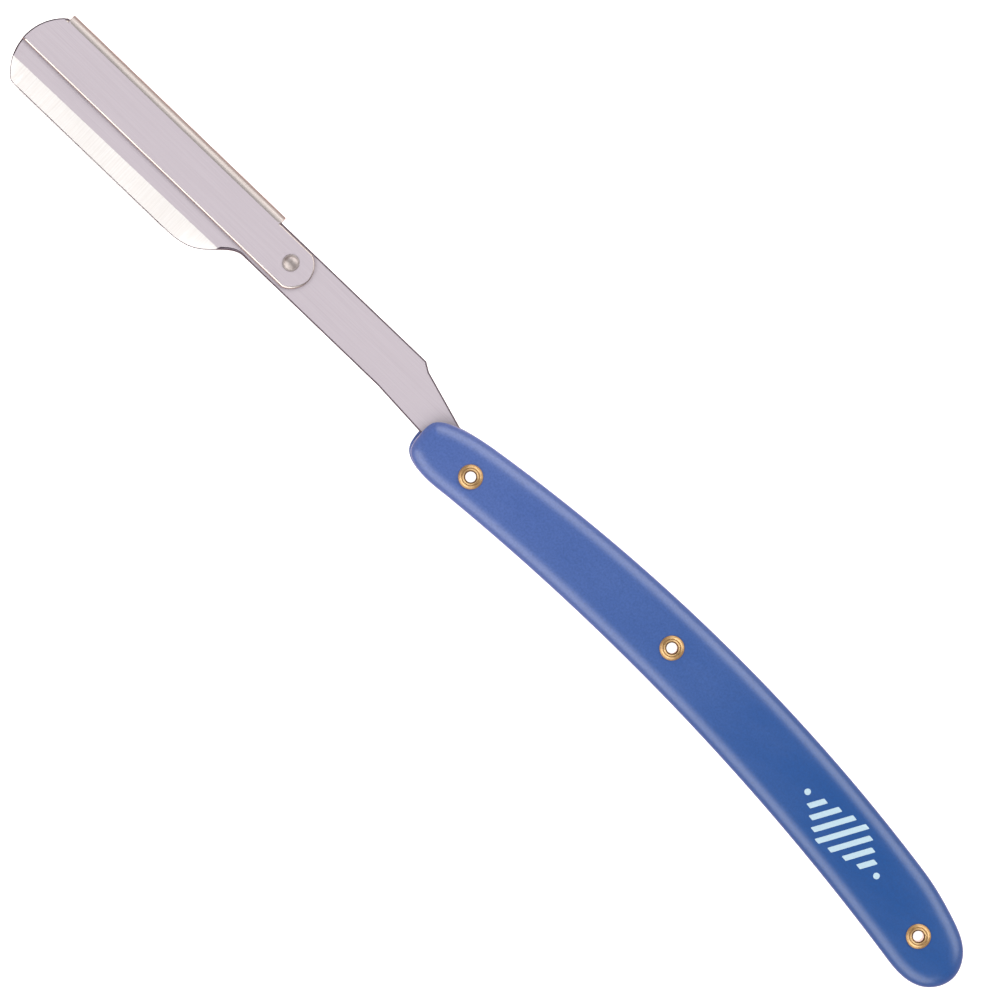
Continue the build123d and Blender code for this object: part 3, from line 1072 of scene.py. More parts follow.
@dataclass
class HollowRivet:
    """A hollow brass rivet with rolled ends, and the crowned collar under each end."""

    place: str
    wall: float = 0.33
    fit: float = 0.05
    roll: float = 0.22
    lip: float = 0.1
    mouth: float = 0.28
    throat: Point = (0.08, 0.3)
    bore_depth: float = 0.6
    bore_shade_reach: float = 0.25
    seat: float = 0.15
    collar_radius: float = 2.35
    collar_rim: float = 0.12
    crest: float = 2.05
    crest_lift: float = 0.04
    groove: float = 1.66

    def tube_profile(self) -> Array:
        """The tube's wall with its two rolled ends: a flat roll that funnels into the bore.

        Returns:
            The closed profile, as rows of radius and height.
        """
        bore, tube = LAYOUT.bore_radius, LAYOUT.bore_radius + self.wall
        top, seat = LAYOUT.flare_top, LAYOUT.collar_top - self.seat
        half = [(tube, seat, 0.0), (tube + self.roll, seat, 0.03),
                (tube + self.roll, top - self.lip, self.lip), (tube + self.lip, top, 0.08),
                (bore + self.mouth, top - 0.02, 0.05), (bore + self.throat[0], top - self.throat[1], 0.06),
                (bore, top - self.bore_depth, 0.1)]
        return rounded(half + [(r, -z, k) for r, z, k in half[::-1]], 8)

    def collar_profile(self, side: int) -> Array:
        """A collar's section: a rolled outer edge, a crown and a dish that the rivet's end fills.

        Args:
            side: 1 for the front collar, -1 for the back one.

        Returns:
            The closed profile, as rows of radius and height.
        """
        inner = LAYOUT.bore_radius + self.wall + self.fit
        base, top = LAYOUT.outer_z, LAYOUT.collar_top
        rows = [(inner, base, 0.0), (self.collar_radius, base, 0.03),
                (self.collar_radius, base + self.collar_rim, 0.06), (self.crest, top + self.crest_lift, 0.1),
                (self.groove, top - self.seat, 0.06), (inner, top - self.seat, 0.02)]
        return rounded([(r, side * z, k) for r, z, k in rows], 6)

    def build(self, palette: Palette) -> None:
        """Builds the rivet and its two collars.

        Args:
            palette: The razor's finishes.
        """
        centre = LAYOUT.rivets[self.place]
        name = f"{self.place}_tube_rivet"
        bore = LAYOUT.bore_radius

        def choose(centres: Array, _: Array) -> Array:
            """Darker brass inside the tube as painted shade in the bore, lighter brass elsewhere as painted light.
            """
            radius = np.hypot(centres[:, 0] - centre[0], centres[:, 1] - centre[1])
            return (radius < bore + self.bore_shade_reach) * 1

        # The tube takes painted light, a lighter brass, on its rolled ends and painted shade, a darker brass, in
        # the bore.
        finish_piece(Fitting("rolled_" + name, "handle", "brass", (name,)),
                     lathe(self.tube_profile(), centre), [palette.rolled, palette.bore], choose, sharp=60)
        for side, word in ((1, "front"), (-1, "back")):
            node = f"{self.place}_{word}_collar"
            finish_piece(Fitting("crowned_" + node, "handle", "brass", (node,)),
                         lathe(self.collar_profile(side), centre), [palette.brass], sharp=60)


@dataclass
class Spacers:
    """What keeps the scales apart: two bearing washers, the middle bush and the tail wedge."""

    washer_radius: float = 3.7
    washer_play: float = 0.03
    bush_radius: float = 4.0
    hole_radius: float = 1.4
    wedge_within: float = 0.7
    wedge_wall: float = 0.35

    def build(self, palette: Palette) -> None:
        """Builds the four spacers.

        Args:
            palette: The razor's finishes.
        """
        half, tang = LAYOUT.slot_half, LAYOUT.tang_half + self.washer_play
        for low, high, word in ((tang, half, "front"), (-half, -tang, "back")):
            ring = [(self.hole_radius, low, 0.06), (self.washer_radius, low, 0.12),
                    (self.washer_radius, high, 0.12), (self.hole_radius, high, 0.06)]
            node = f"pivot_{word}_washer"
            finish_piece(Fitting("turned_" + node, "handle", "brass", (node,)),
                         lathe(rounded(ring), LAYOUT.rivets["pivot"]), [palette.brass])
        ring = [(self.hole_radius, -half, 0.06), (self.bush_radius, -half, 0.15),
                (self.bush_radius, half, 0.15), (self.hole_radius, half, 0.06)]
        finish_piece(Fitting("moulded_middle_spacer", "handle", "spacer_plastic", ("middle_spacer",)),
                     lathe(rounded(ring), LAYOUT.rivets["middle"]), [palette.fibre])
        self._wedge(palette)

    def _wedge(self, palette: Palette) -> None:
        """Builds the wedge: the rim's inner line, cut by the circle that the tip swings inside."""
        end = LAYOUT.rivets["end"]
        front = end[0] - self.hole_radius - self.wedge_wall
        loop = ScaleRim(within=self.wedge_within).loop()
        beyond = np.hypot(*loop.T) > front
        first = int(np.flatnonzero(beyond & ~np.roll(beyond, 1))[0])
        run = np.roll(loop, -first, axis=0)[: int(beyond.sum())]
        hollow = arc(run[-1], (front, 0.0), run[0], 0.4)
        plate = Plate(
            outline=closed(run, hollow),
            top=lambda points: np.full(len(points), LAYOUT.slot_half),
            bottom=lambda points: np.full(len(points), -LAYOUT.slot_half),
            top_rim=quarter_rim(0.1, 0.1, 2),
            low_rim=quarter_rim(0.1, 0.1, 2),
            holes=[circle(end, self.hole_radius)],
        )
        finish_piece(Fitting("moulded_tail_wedge", "handle", "spacer_plastic", ("tail_wedge",)),
                     plate.surface(), [palette.fibre])


@dataclass
class HeadOutline:
    """Lines that the tang plate and the clamp cover share, in u and v."""

    span_to_tip: float = 2.4
    tip_radius: float = 10.25
    tip_v: float = -1.9
    edge_v: float = 6.18
    straight: float = 39.1
    toe_corner: float = 1.4
    toe_rise: float = 0.42
    heel_run: float = 13.7
    heel_curve: tuple[Point, Point] = ((0.46, 1.4), (0.72, 4.4))
    neck_v: float = -0.3
    bevel_width: float = 4.05
    bevel_slope: float = 0.008
    fold_start_u: float = 58.55
    rivet_at: Point = (52.06, -5.6)
    blade_reveal: float = 0.3
    blade_width: float = 11.05
    notch_pitch: float = 14.2

    def __post_init__(self) -> None:
        """Works out the stations along the head and the places of the blade's notches."""
        self.tip_u = LAYOUT.rivets["end"][0] - self.span_to_tip
        self.centre_u = self.tip_u - self.tip_radius
        end = self.centre_u + math.sqrt(self.tip_radius**2 - (self.edge_v - self.tip_v) ** 2)
        self.heel_u = end - self.toe_corner - self.straight
        self.neck_u = self.heel_u - self.heel_run
        self.bevel_v = self.edge_v - self.bevel_width
        self.blade_u = self.heel_u + self.straight / 2
        self.blade_edge_v = self.edge_v + self.blade_reveal
        self.blade_back_v = self.blade_edge_v - self.blade_width
        self.notches = [(self.blade_u + k * self.notch_pitch, self.blade_back_v) for k in (-1, 0, 1)]

    def bevel_start(self, u: Array) -> Array:
        """Where the ground face starts: a straight line that nears the edge towards the tip."""
        return self.bevel_v + self.bevel_slope * (u - self.heel_u - self.straight / 2)

    def tip_point(self, v: float, within: float = 0.0) -> Point:
        """Point of the tip's arc at a distance v across the head."""
        radius = self.tip_radius - within
        return self.centre_u + math.sqrt(radius**2 - (v - self.tip_v) ** 2), v

    def edge(self, top_v: float, within: float, neck: Point) -> list[Array]:
        """Tip, straight edge and heel, from the spine's side round to the neck.

        Args:
            top_v: Where the tip's arc starts.
            within: How far inside the plate's own outline the lines run.
            neck: Where the heel ends.

        Returns:
            The lines in order.
        """
        edge_v = self.edge_v - within
        tip = arc(self.tip_point(top_v, within), (self.tip_u - within, self.tip_v),
                  self.tip_point(edge_v - self.toe_rise, within))
        start = (self.heel_u + self.straight, edge_v)
        toe = spline([tip[-1], start], tip[-1] - tip[-2], (-1, 0), 0.12)
        (first, first_drop), (second, second_drop) = self.heel_curve
        heel = spline(
            [(self.heel_u, edge_v), (self.heel_u - first * self.heel_run, edge_v - first_drop),
             (self.heel_u - second * self.heel_run + within, edge_v - second_drop), neck], (-1, 0), (-1, 0))
        return [tip, toe, line(start, (self.heel_u, edge_v)), heel]


@dataclass
class TangPlate:
    """The flat steel plate from pivot to tip, ground thin along its cutting side."""

    outline: HeadOutline
    boss_radius: float = 4.1
    boss_top: float = math.radians(-59)
    boss_low: float = math.radians(11)
    heel_width: float = 9.5
    shoulder_width: float = 9.56
    shoulder_u: float = 21.0
    facet: Point = (1.75, 1.1)
    neck_bend_u: float = 24.5
    neck_entry: Point = (12.5, 0.5)
    edge_thickness: float = 0.22
    pivot_hole: float = 1.41
    rivet_hole: float = 1.06
    stud_hole: float = 0.82
    rim_width: float = 0.3
    back_break: float = 0.06
    heel_rim: Point = (3.2, 3.4)
    heel_rim_v: float = 2.6
    heel_gain: float = 0.9
    ground_loss: float = 0.5
    ground_blend: float = 0.6

    def rim_share(self, points: Array) -> Array:
        """The rounded rim's share: widest along the heel's curve, narrow along the ground edge.

        One, plus a bell about the heel's curve, less a share that comes in evenly with the bevel.

        Args:
            points: Rows of u and v.

        Returns:
            The share at each point.
        """
        u, v = points.T
        at, reach = self.heel_rim
        heel = np.exp(-(((u - self.outline.neck_u - at) / reach) ** 2)) * (np.abs(v) < self.heel_rim_v)
        ground = np.clip((v - self.outline.bevel_v) / self.ground_blend + 0.5, 0, 1)
        return 1 - self.ground_loss * ground + self.heel_gain * heel * (1 - ground)

    def top(self, points: Array) -> Array:
        """Height of the front face: flat, then falling evenly across the ground bevel."""
        fall = (2 * LAYOUT.tang_half - self.edge_thickness) / self.outline.bevel_width
        past = np.maximum(points[:, 1] - self.outline.bevel_start(points[:, 0]), 0)
        return LAYOUT.tang_half - fall * past

    def loop(self) -> Array:
        """Draws the plate's outline.

        Returns:
            The closed loop.
        """
        o = self.outline
        top_v = o.neck_v - self.heel_width
        shoulder_v = o.neck_v - self.shoulder_width
        low, high = ((self.boss_radius * math.cos(a), self.boss_radius * math.sin(a))
                     for a in (self.boss_low, self.boss_top))
        facet = (self.shoulder_u - self.facet[0], shoulder_v + self.facet[1])
        neck, bend = (o.neck_u, o.neck_v), (self.neck_bend_u, o.neck_v)
        shoulder, spine = (self.shoulder_u, shoulder_v), (o.fold_start_u, top_v)
        return closed(
            *o.edge(top_v, 0.0, neck), line(neck, bend, 1.5), line(bend, self.neck_entry),
            line(self.neck_entry, low), arc(low, (-self.boss_radius, 0), high), line(high, facet),
            line(facet, shoulder), line(shoulder, spine, 1.5), line(spine, o.tip_point(top_v), 1.5))

    def build(self, palette: Palette) -> bpy.types.Object:
        """Builds the plate.

        Args:
            palette: The razor's finishes.

        Returns:
            The plate's object.
        """
        o = self.outline
        plate = Plate(
            outline=self.loop(),
            top=self.top,
            bottom=lambda points: np.full(len(points), -LAYOUT.tang_half),
            top_rim=quarter_rim(self.rim_width, self.rim_width, 12),
            low_rim=quarter_rim(self.back_break, self.back_break, 8),
            rim_share=self.rim_share,
            holes=[circle((0, 0), self.pivot_hole), circle(o.rivet_at, self.rivet_hole),
                   *(circle(place, self.stud_hole) for place in o.notches)],
            creases=[line((o.neck_u, o.bevel_start(o.neck_u)), (o.tip_u, o.bevel_start(o.tip_u)), 0.5)],
        )

        def choose(centres: Array, sides: Array) -> Array:
            """Ground finish on the bevel, sheared edge darkened to painted shade round the rim, satin elsewhere.

            Args:
                centres: The faces' centres.
                sides: The faces' sides.

            Returns:
                The kind of each face.
            """
            kind = np.full(len(sides), int(Face.SATIN))
            kind[(sides == Side.TOP) & (centres[:, 1] > o.bevel_start(centres[:, 0]))] = Face.GROUND
            # Painted shade: the rim takes the near-black sheared finish, standing in for the dark lines of shade
            # along the plate's edges.
            kind[sides == Side.RIM] = Face.SHEARED_PAINTED_SHADE
            return kind

        return finish_piece(
            Fitting("ground_tang_plate", "blade_arm", "satin_steel", ("tang_plate",)), plate.surface(),
            palette.steels()[: Face.SHEARED_PAINTED_SHADE + 1], choose, in_head=True, sharp=9)


@dataclass
class ClampCover:
    """The folded sheet that clamps the blade, cut flat as a blank and bent round the spine.

    The blank is drawn in u and w: w equals v over the front leaf, runs on across the fold, and
    turns back over the rear leaf.
    """

    outline: HeadOutline
    sheet: float = 0.6
    fold_v: float = -11.05
    fold_length: float = 54.9
    low_v: float = -1.15
    top_v: float = -9.4
    round_depth: float = 2.85
    end_u: float = 47.35
    rear_within: float = 0.12
    rear_edge: float = 0.2
    rear_neck_setback: float = 0.6
    front_hole: float = 1.62
    rear_hole: float = 1.0
    halo_drop: float = 0.05
    halo_reach: float = 0.28
    halo_rings: tuple[float, ...] = (0.14, 0.3, 0.5, 0.8)
    fold_rows: int = 18
    arris_rows: tuple[Point, ...] = (
        (0.44, 0.0), (0.38, 0.01), (0.14, 0.11), (0.10, 0.14), (0.03, 0.24), (0.0, 0.29))
    arris_fade: Point = (4.5, 2.0)
    arris_least: float = 0.25
    arris_round_end: float = 0.15
    arris_tip: float = 0.3
    tip_band: float = 0.45
    tip_start: float = 0.2

    def __post_init__(self) -> None:
        """Works out the fold's half ellipse and the width of sheet that it takes up."""
        self.rise = (LAYOUT.cover_top - LAYOUT.cover_low) / 2
        self.depth = self.top_v - self.fold_v
        self.centre_z = (LAYOUT.cover_top + LAYOUT.cover_low) / 2
        self.centre_v = self.top_v
        self.neutral = (self.rise + self.depth - self.sheet) / 2
        self.turn_w = self.centre_v - math.pi * self.neutral
        self.fold_start_u = self.outline.fold_start_u
        self.fold_end_u = self.fold_start_u + self.fold_length
        self.rivet_at = self.outline.rivet_at

    def rear_w(self, v: float) -> float:
        """Where a distance v of the rear leaf lies on the blank."""
        return self.turn_w - (v - self.centre_v)

    def bend(self, points: Array) -> Array:
        """Folds the blank: flat, then half an ellipse at each layer's own reach, then flat behind.

        Args:
            points: Rows of u, w and height above the sheet's inner side.

        Returns:
            Rows of u, v and z.
        """
        u, w, t = points.T
        angle = np.clip((self.centre_v - w) / self.neutral, 0, math.pi)
        inner = t - self.sheet
        straight = np.maximum(w - self.centre_v, 0) + np.maximum(self.turn_w - w, 0)
        v = self.centre_v - (self.depth + inner) * np.sin(angle) + straight
        return np.column_stack([u, v, self.centre_z + (self.rise + inner) * np.cos(angle)])

    def on_tip(self, points: Array) -> Array:
        """Which points of the blank lie on the tip's arc of the front leaf.

        Args:
            points: Rows of u and w.

        Returns:
            True for each point near the arc.
        """
        o = self.outline
        u, w = points[:, 0], points[:, 1]
        near = np.hypot(u - o.centre_u, w - o.tip_v) > o.tip_radius - self.tip_band
        return near & (u > o.centre_u) & (w < self.low_v - self.tip_start) & (w > self.top_v)

    def rim_share(self, points: Array) -> Array:
        """The arris's share: full along the front leaf's lower edge, less round its ends, slight behind.

        Args:
            points: Rows of u and w.

        Returns:
            The share at each point.
        """
        u, w = points.T
        start, full = self.arris_fade
        low = np.clip((w - self.low_v + start) / (start - full), 0, 1) * ~self.on_tip(points)
        end = np.where(u < self.fold_start_u, self.arris_round_end, self.arris_tip)
        return self.arris_least + np.maximum((1 - self.arris_least) * low, (w > self.top_v - 0.01) * end)

    def outer(self, points: Array) -> Array:
        """Thickness of the sheet: less across the rear leaf's bevel, dished round the rivet.

        The bevel falls evenly; the dish is a bell of the distance from the rivet's head.

        Args:
            points: Rows of u and w.

        Returns:
            The thickness at each point.
        """
        v = self.centre_v + (self.turn_w - points[:, 1])
        fall = (self.sheet - self.rear_edge) / self.outline.bevel_width
        thick = self.sheet - fall * np.maximum(v - self.outline.bevel_v, 0)
        ring = np.hypot(points[:, 0] - self.rivet_at[0], points[:, 1] - self.rivet_at[1]) - self.front_hole
        return thick - self.halo_drop * np.exp(-((np.maximum(ring, 0) / self.halo_reach) ** 2))

    def loop(self) -> Array:
        """Draws the blank's outline.

        Returns:
            The closed loop, in u and w.
        """
        o = self.outline
        corner_u = self.end_u + self.round_depth
        mid_v = (self.top_v + self.low_v) / 2
        front_end = arc((corner_u, self.low_v), (self.end_u, mid_v), (corner_u, self.top_v))
        top, rear_top = (self.fold_start_u, self.top_v), (self.fold_start_u, self.turn_w)
        rear_end = front_end[::-1].copy()
        rear_end[:, 1] = self.rear_w(rear_end[:, 1])
        neck = (o.neck_u + self.rear_neck_setback, self.low_v)
        rear = np.vstack(o.edge(self.centre_v, self.rear_within, neck))[::-1].copy()
        rear[:, 1] = self.rear_w(rear[:, 1])
        tip, rear_tip = o.tip_point(self.centre_v), tuple(rear[-1])
        end_top, end_low = (self.fold_end_u, self.centre_v), (self.fold_end_u, self.turn_w)
        tip_end = o.tip_point(self.low_v)
        return closed(
            front_end, line((corner_u, self.top_v), top), line(top, rear_top, 0.2),
            line(rear_top, rear_end[0]), rear_end, line(rear_end[-1], rear[0]), rear,
            line(rear_tip, end_low, 0.2), line(end_low, end_top, 0.2), line(end_top, tip, 0.2),
            arc(tip, (o.tip_u, o.tip_v), tip_end), line(tip_end, (corner_u, self.low_v)))

    def build(self, palette: Palette) -> bpy.types.Object:
        """Builds the cover.

        Args:
            palette: The razor's finishes.

        Returns:
            The cover's object.
        """
        o = self.outline
        rows = np.linspace(self.centre_v, self.turn_w, self.fold_rows + 1)
        ground_w = self.rear_w(o.bevel_v)
        creases = [line((self.fold_start_u - 0.5, w), (self.fold_end_u + 0.5, w), 1.2) for w in rows]
        creases.append(line((o.neck_u, ground_w), (o.tip_u, ground_w)))
        rear_rivet = (self.rivet_at[0], self.rear_w(self.rivet_at[1]))
        plate = Plate(
            outline=self.loop(),
            top=self.outer,
            bottom=lambda points: np.zeros(len(points)),
            top_rim=np.array(self.arris_rows),
            low_rim=np.array([(0.05, 0.0), (0.0, 0.04)]),
            rim_share=self.rim_share,
            arris_steps=2,
            holes=[circle(self.rivet_at, self.front_hole), circle(rear_rivet, self.rear_hole)],
            creases=creases,
            inner_points=np.vstack([circle(self.rivet_at, self.front_hole + r) for r in self.halo_rings]),
        )
        shell = plate.surface()
        flat = shell.centres()
        shell.points = [self.bend(points) for points in shell.points]

        def choose(_: Array, sides: Array) -> Array:
            """Drawn fold, ground rear bevel, painted-shade cut edge, bright arris, painted-shade sheared tip,
            satin elsewhere.

            Args:
                sides: The faces' sides.

            Returns:
                The kind of each face.
            """
            kind = np.full(len(sides), int(Face.SATIN))
            face = (sides == Side.TOP) | (sides == Side.BOTTOM)
            kind[face & (flat[:, 1] < self.centre_v) & (flat[:, 1] > self.turn_w)] = Face.DRAWN
            kind[(sides == Side.TOP) & (flat[:, 1] < ground_w)] = Face.GROUND
            # Painted shade: the cover's cut rim takes the dark brown finish, standing in for the shadow line along
            # its edges.
            kind[sides == Side.RIM] = Face.CUT_PAINTED_SHADE
            kind[sides == Side.ARRIS] = Face.ARRIS
            edge = (sides == Side.RIM) | (sides == Side.ARRIS)
            # Painted shade: the tip's edges take the near-black sheared finish.
            kind[edge & self.on_tip(flat)] = Face.SHEARED_PAINTED_SHADE
            return kind

        return finish_piece(
            Fitting("folded_clamp_cover", "cover", "satin_steel", ("clamp_cover",)), shell,
            palette.steels(), choose, in_head=True, sharp=20)


@dataclass
class ClampRivet:
    """The rivet that the cover swings on: dished in front, low and domed behind."""

    shank: float = 1.0
    head: float = 1.62
    dish: float = 1.3
    dish_depth: float = 0.42
    proud: float = 0.14
    back_head: float = 1.5
    back_proud: float = 0.12
    sheet: float = 0.6
    off_centre: Point = (-0.22, 0.12)

    def build(self, palette: Palette) -> bpy.types.Object:
        """Builds the rivet.

        Args:
            palette: The razor's finishes.

        Returns:
            The rivet's object.
        """
        leaf, low = LAYOUT.cover_top, LAYOUT.cover_low
        top = leaf + self.proud
        radius = np.linspace(0, self.dish, 14)
        sphere = (self.dish**2 + self.dish_depth**2) / (2 * self.dish_depth)
        dish = np.column_stack([radius, top - self.dish_depth + sphere - np.sqrt(sphere**2 - radius**2)])
        lip = rounded([(self.dish, top, 0.0), (self.head - 0.04, top - 0.01, 0.1),
                       (self.head, leaf - 0.05, 0.05), (self.shank, leaf - self.sheet, 0.05)], 5)
        angle = np.linspace(0, math.pi / 2, 9)
        dome = np.column_stack([self.back_head * np.cos(angle), low - self.back_proud * np.sin(angle)])
        profile = np.vstack([dish, lip[1:], [(self.shank, low)], dome])
        profile[-1, 0] = 0.0
        shell = lathe(profile, LAYOUT.clamp_rivet)
        shell.points = [self._strike(points) for points in shell.points]
        return finish_piece(Fitting("dished_clamp_rivet", "cover", "rivet_steel", ("clamp_rivet",)),
                            shell, [palette.rivet], sharp=40)

    def _strike(self, points: Array) -> Array:
        """Shifts the dish's rings sideways as they deepen, as a punch leaves it a little off centre.

        Args:
            points: The rivet's points.

        Returns:
            The points, each moved by the shift times one less the square of its share of the radius.
        """
        share = np.hypot(*(points[:, :2] - LAYOUT.clamp_rivet).T) / self.dish
        deep = np.where(points[:, 2] > LAYOUT.cover_low + self.sheet, np.clip(1 - share**2, 0, 1), 0)
        return points + deep[:, None] * np.array([*self.off_centre, 0.0])


@dataclass
class HalfBlade:
    """Half of a double-edge blade: ground on both sides, with half slot and half holes."""

    outline: HeadOutline
    length: float = 43.0
    edge_length: float = 37.4
    thickness: float = 0.1
    shoulder: float = 4.4
    slot_length: float = 33.0
    slot_depth: float = 0.85
    notch: float = 1.6
    ground: float = 0.7
    edge_share: float = 0.12

    def build(self, palette: Palette) -> bpy.types.Object:
        """Builds the blade.

        Args:
            palette: The razor's finishes.

        Returns:
            The blade's object.
        """
        o = self.outline
        middle, edge_v, back_v = o.blade_u, o.blade_edge_v, o.blade_back_v
        half, short, slot = self.length / 2, self.edge_length / 2, self.slot_length / 2
        step_v, slot_v = edge_v - self.shoulder, back_v + self.slot_depth
        chord = math.sqrt(self.notch**2 - self.slot_depth**2)
        corners = [(middle - slot, slot_v), (middle - slot, back_v), (middle - half, back_v),
                   (middle - half, step_v), (middle - short, step_v), (middle - short, edge_v),
                   (middle + short, edge_v), (middle + short, step_v), (middle + half, step_v),
                   (middle + half, back_v), (middle + slot, back_v), (middle + slot, slot_v)]
        pieces = [line(a, b, 1.0) for a, b in zip(corners, corners[1:])]
        at = corners[-1]
        for place, _ in o.notches[::-1]:
            start, end = (place + chord, slot_v), (place - chord, slot_v)
            pieces += [line(at, start, 1.0), arc(start, (place, back_v + self.notch), end, 0.2)]
            at = end
        pieces.append(line(at, corners[0], 1.0))
        ground_v = edge_v - self.ground
        centre_z = -LAYOUT.tang_half - self.thickness / 2

        def half_thickness(points: Array) -> Array:
            """Half the blade's thickness, tapering evenly to the edge."""
            share = np.clip((edge_v - points[:, 1]) / self.ground, self.edge_share, 1.0)
            return share * self.thickness / 2

        plate = Plate(
            outline=closed(*pieces),
            top=lambda points: centre_z + half_thickness(points),
            bottom=lambda points: centre_z - half_thickness(points),
            top_rim=np.zeros((1, 2)),
            low_rim=np.zeros((1, 2)),
            creases=[line((middle - short, ground_v), (middle + short, ground_v), 1.0)],
        )

        def choose(centres: Array, _: Array) -> Array:
            """Honed finish along the edge, polished elsewhere."""
            return (centres[:, 1] > ground_v) * 1

        return finish_piece(
            Fitting("ground_half_blade", "blade_arm", "blade_steel", ("half_blade",)), plate.surface(),
            [palette.blade, palette.honed], choose, in_head=True, sharp=3)


@dataclass
class Ornament:
    """Generic printed ornament near the tail: slanted bars, tallest in the middle, and two dots."""

    scale: Scale
    centre: Point = (96.3, 3.15)
    pitch: float = 2.45
    bar_width: float = 1.15
    bar_corner: float = 0.16
    heights: tuple[float, ...] = (3.2, 5.4, 7.6, 9.2, 7.6, 5.4, 3.2)
    lean: float = 0.42
    dot_radius: float = 0.62
    film: float = 0.012
    sunk: float = 0.03
    grid: float = 0.6
    turn: float = math.radians(-5.0)

    def build(self, palette: Palette) -> None:
        """Builds the bars and dots as one thin film that follows the scale's face.

        Args:
            palette: The razor's finishes.
        """
        shell = Surface()
        middle = (len(self.heights) - 1) / 2
        loops = []
        for number, height in enumerate(self.heights):
            x, half = (number - middle) * self.pitch, height / 2
            low, high = x - self.lean * half, x + self.lean * half
            w, k = self.bar_width / 2, self.bar_corner
            bar = rounded([(low - w, -half, k), (low + w, -half, k),
                           (high + w, half, k), (high - w, half, k)], 4)
            loops.append(dense(bar, self.grid / 2))
        reach = (middle + 1.15) * self.pitch
        loops += [circle((x, 0), self.dot_radius, 40) for x in (-reach, reach)]
        c, s = math.cos(self.turn), math.sin(self.turn)
        for loop in loops:
            placed = loop @ np.array([[c, s], [-s, c]]) + self.centre
            print_plate = Plate(
                outline=placed,
                top=lambda points: self.scale.face(points) + self.film,
                bottom=lambda points: self.scale.face(points) - self.sunk,
                top_rim=np.array([(0.02, 0.0), (0.0, self.film / 2)]),
                low_rim=np.zeros((1, 2)),
                inner_points=self._inner(placed),
            )
            shell.join(print_plate.surface())
        finish_piece(Fitting("printed_ornament", "handle", "blue_plastic"), shell, [palette.ink], sharp=50)

    def _inner(self, loop: Array) -> Array:
        """Points of an even grid over a loop's box.

        Args:
            loop: Closed loop of points.

        Returns:
            Rows of x and y.
        """
        low, high = loop.min(0), loop.max(0)
        x, y = np.meshgrid(*(np.arange(low[k], high[k], self.grid) for k in (0, 1)))
        return np.column_stack([x.ravel(), y.ravel()])


# --- Studio -------------------------------------------------------------------------------------------


@dataclass
class Softbox:
    """One rectangular studio light, aimed at the razor's middle."""

    name: str
    place: tuple[float, float, float]
    size: Point
    power: float
    colour: tuple[float, float, float] = (1.0, 1.0, 1.0)

    def build(self, target: Array) -> None:
        """Hangs the light.

        Args:
            target: The point that it faces, in metres.
        """
        lamp = bpy.data.lights.new(self.name, "AREA")
        lamp.shape = "RECTANGLE"
        lamp.size, lamp.size_y = self.size
        lamp.energy, lamp.color = self.power, self.colour
        light = bpy.data.objects.new(self.name, lamp)
        bpy.context.scene.collection.objects.link(light)
        back = np.array(self.place) - target
        back /= np.linalg.norm(back)
        side = np.array([1.0, 0.0, 0.0])
        side -= back * (side @ back)
        side /= np.linalg.norm(side)
        up = np.cross(back, side)
        matrix = np.eye(4)
        matrix[:3, 0], matrix[:3, 1], matrix[:3, 2], matrix[:3, 3] = side, up, back, self.place
        light.matrix_world = matrix.T.tolist()


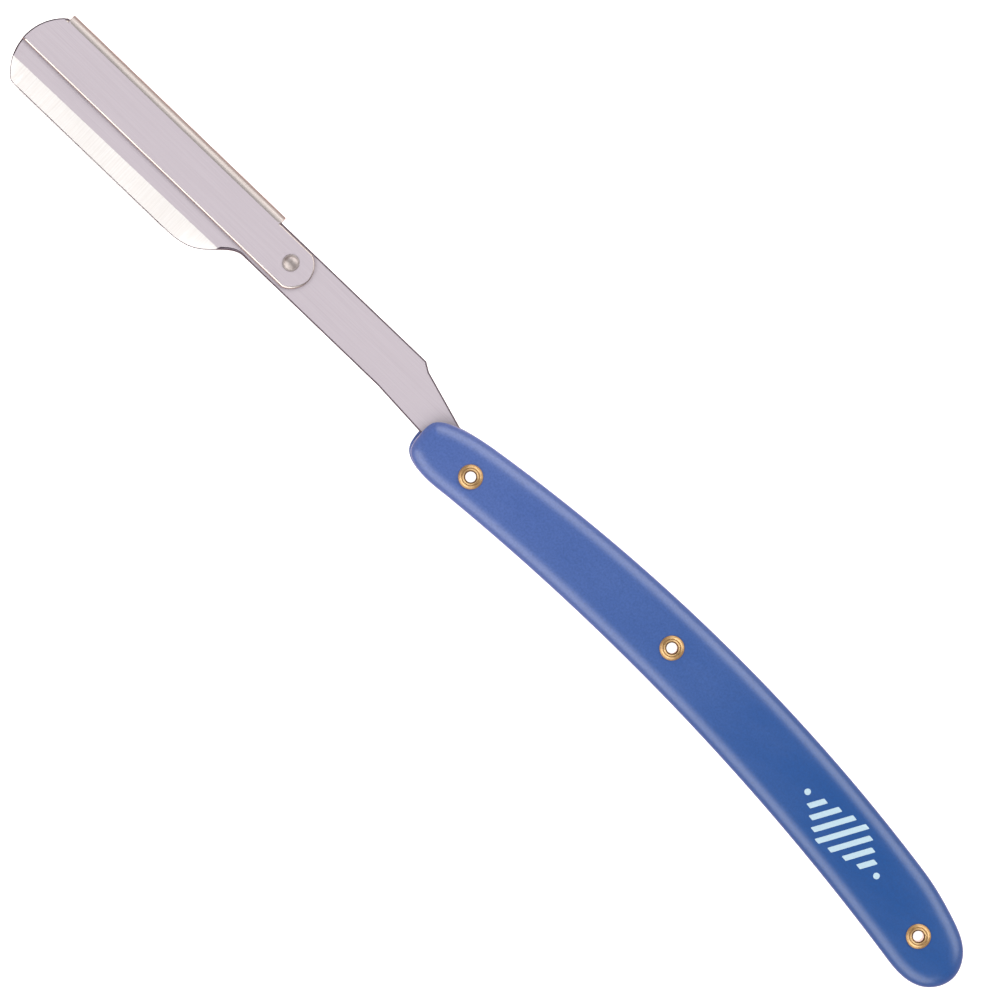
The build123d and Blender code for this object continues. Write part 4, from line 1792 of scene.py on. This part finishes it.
@dataclass
class Studio:
    """White glowing table, a long soft light on each side, and a camera straight above."""

    centre: Point = (6.92, 0.92)
    handle_slope: float = math.radians(45.74)
    view_width: float = 187.4
    lens: float = 400.0
    sensor: float = 36.0
    floor_size: float = 3.0
    light_size: Point = (3.0, 0.95)
    light_away: float = 1.5
    light_from_zenith: float = math.radians(47.0)

    def build(self) -> None:
        """Builds the floor, the lights, the world and the camera."""
        target = np.array([*self.centre, 0.0]) * MM
        self._floor()
        across = self.light_away * math.sin(self.light_from_zenith)
        above = self.light_away * math.cos(self.light_from_zenith)
        for word, side, power, colour in (
            ("edge_side", -1, 40.0, (1.0, 0.975, 0.955)),
            ("spine_side", 1, 40.0, (1.0, 0.975, 0.94)),
        ):
            place = (0.0, side * across, above)
            Softbox("softbox_" + word, place, self.light_size, power, colour).build(target)
        self._world()
        self._camera()
        settings = bpy.context.scene.view_settings
        settings.view_transform, settings.look = "Standard", "None"

    def _floor(self) -> None:
        """Lays the glowing floor under the razor's lowest point, out of the steel's reflections."""
        half = self.floor_size / 2
        z = LAYOUT.floor_z * MM
        mesh = bpy.data.meshes.new("studio_floor")
        corners = [(x * half, y * half, z) for x, y in ((-1, -1), (1, -1), (1, 1), (-1, 1))]
        mesh.from_pydata(corners, [], [(0, 1, 2, 3)])
        g = Graph("studio_paper")
        tooth = g.noise(g.place, 900.0, 3.0)
        g.surface(Base_Color=rgba(0.5, 0.5, 0.5), Roughness=0.9, Normal=g.bump(tooth, 0.1, 0.02),
                  Emission_Color=rgba(1.0, 1.0, 1.0), Emission_Strength=1.02)
        mesh.materials.append(g.material)
        floor = bpy.data.objects.new("studio_floor", mesh)
        floor.visible_glossy = False
        bpy.context.scene.collection.objects.link(floor)

    def _world(self) -> None:
        """Fills in from all round: dim grey overhead, warmer towards the horizon, bright below it."""
        world = bpy.data.worlds.new("studio_air")
        world.use_nodes = True
        tree = world.node_tree
        place = tree.nodes.new("ShaderNodeTexCoord")
        parts = tree.nodes.new("ShaderNodeSeparateXYZ")
        height = tree.nodes.new("ShaderNodeMapRange")
        height.inputs[1].default_value, height.inputs[2].default_value = -1.0, 1.0
        ramp = tree.nodes.new("ShaderNodeValToRGB")
        tree.links.new(place.outputs["Generated"], parts.inputs[0])
        tree.links.new(parts.outputs[2], height.inputs[0])
        tree.links.new(height.outputs[0], ramp.inputs[0])
        stops = ((0.0, (2.5, 1.9, 1.8)), (0.14, (2.3, 1.65, 1.55)), (0.33, (0.95, 0.68, 0.62)),
                 (0.56, (0.95, 0.68, 0.62)), (0.80, (0.26, 0.24, 0.26)), (1.0, (0.26, 0.25, 0.28)))
        elements = ramp.color_ramp.elements
        while len(elements) < len(stops):
            elements.new(0.5)
        for element, (position, colour) in zip(elements, stops):
            element.position, element.color = position, rgba(*colour)
        background = next(n for n in tree.nodes if n.type == "BACKGROUND")
        tree.links.new(ramp.outputs[0], background.inputs[0])
        background.inputs[1].default_value = 1.0
        bpy.context.scene.world = world

    def _camera(self) -> None:
        """Sets the camera above the middle, turned so that the handle slopes down to the right."""
        camera = bpy.data.cameras.new("studio_camera")
        camera.lens, camera.sensor_width = self.lens, self.sensor
        camera.clip_start, camera.clip_end = 0.05, 20.0
        distance = self.view_width * MM * self.lens / self.sensor
        stand = bpy.data.objects.new("studio_camera", camera)
        bpy.context.scene.collection.objects.link(stand)
        stand.location = (self.centre[0] * MM, self.centre[1] * MM, distance)
        stand.rotation_euler = (0, 0, self.handle_slope)
        bpy.context.scene.camera = stand


# --- The razor ----------------------------------------------------------------------------------------


def main() -> None:
    """Builds the razor's pieces in order, then the studio round it."""
    logging.basicConfig(level=logging.INFO, format="%(name)s: %(message)s")
    palette = Palette.mix()
    front = Scale("front_scale", 1, 12.4)
    front.build(palette)
    Scale("back_scale", -1, 12.95, inner_break=0.5).build(palette)
    Ornament(front).build(palette)
    for place in LAYOUT.rivets:
        HollowRivet(place).build(palette)
    Spacers().build(palette)
    outline = HeadOutline()
    TangPlate(outline).build(palette)
    ClampCover(outline).build(palette)
    ClampRivet().build(palette)
    HalfBlade(outline).build(palette)
    studs = frame["nodes"]["blade_locating_studs"]
    studs.data.materials.clear()
    studs.data.materials.append(palette.rivet)
    Studio().build()


if __name__ == "__main__":
    main()
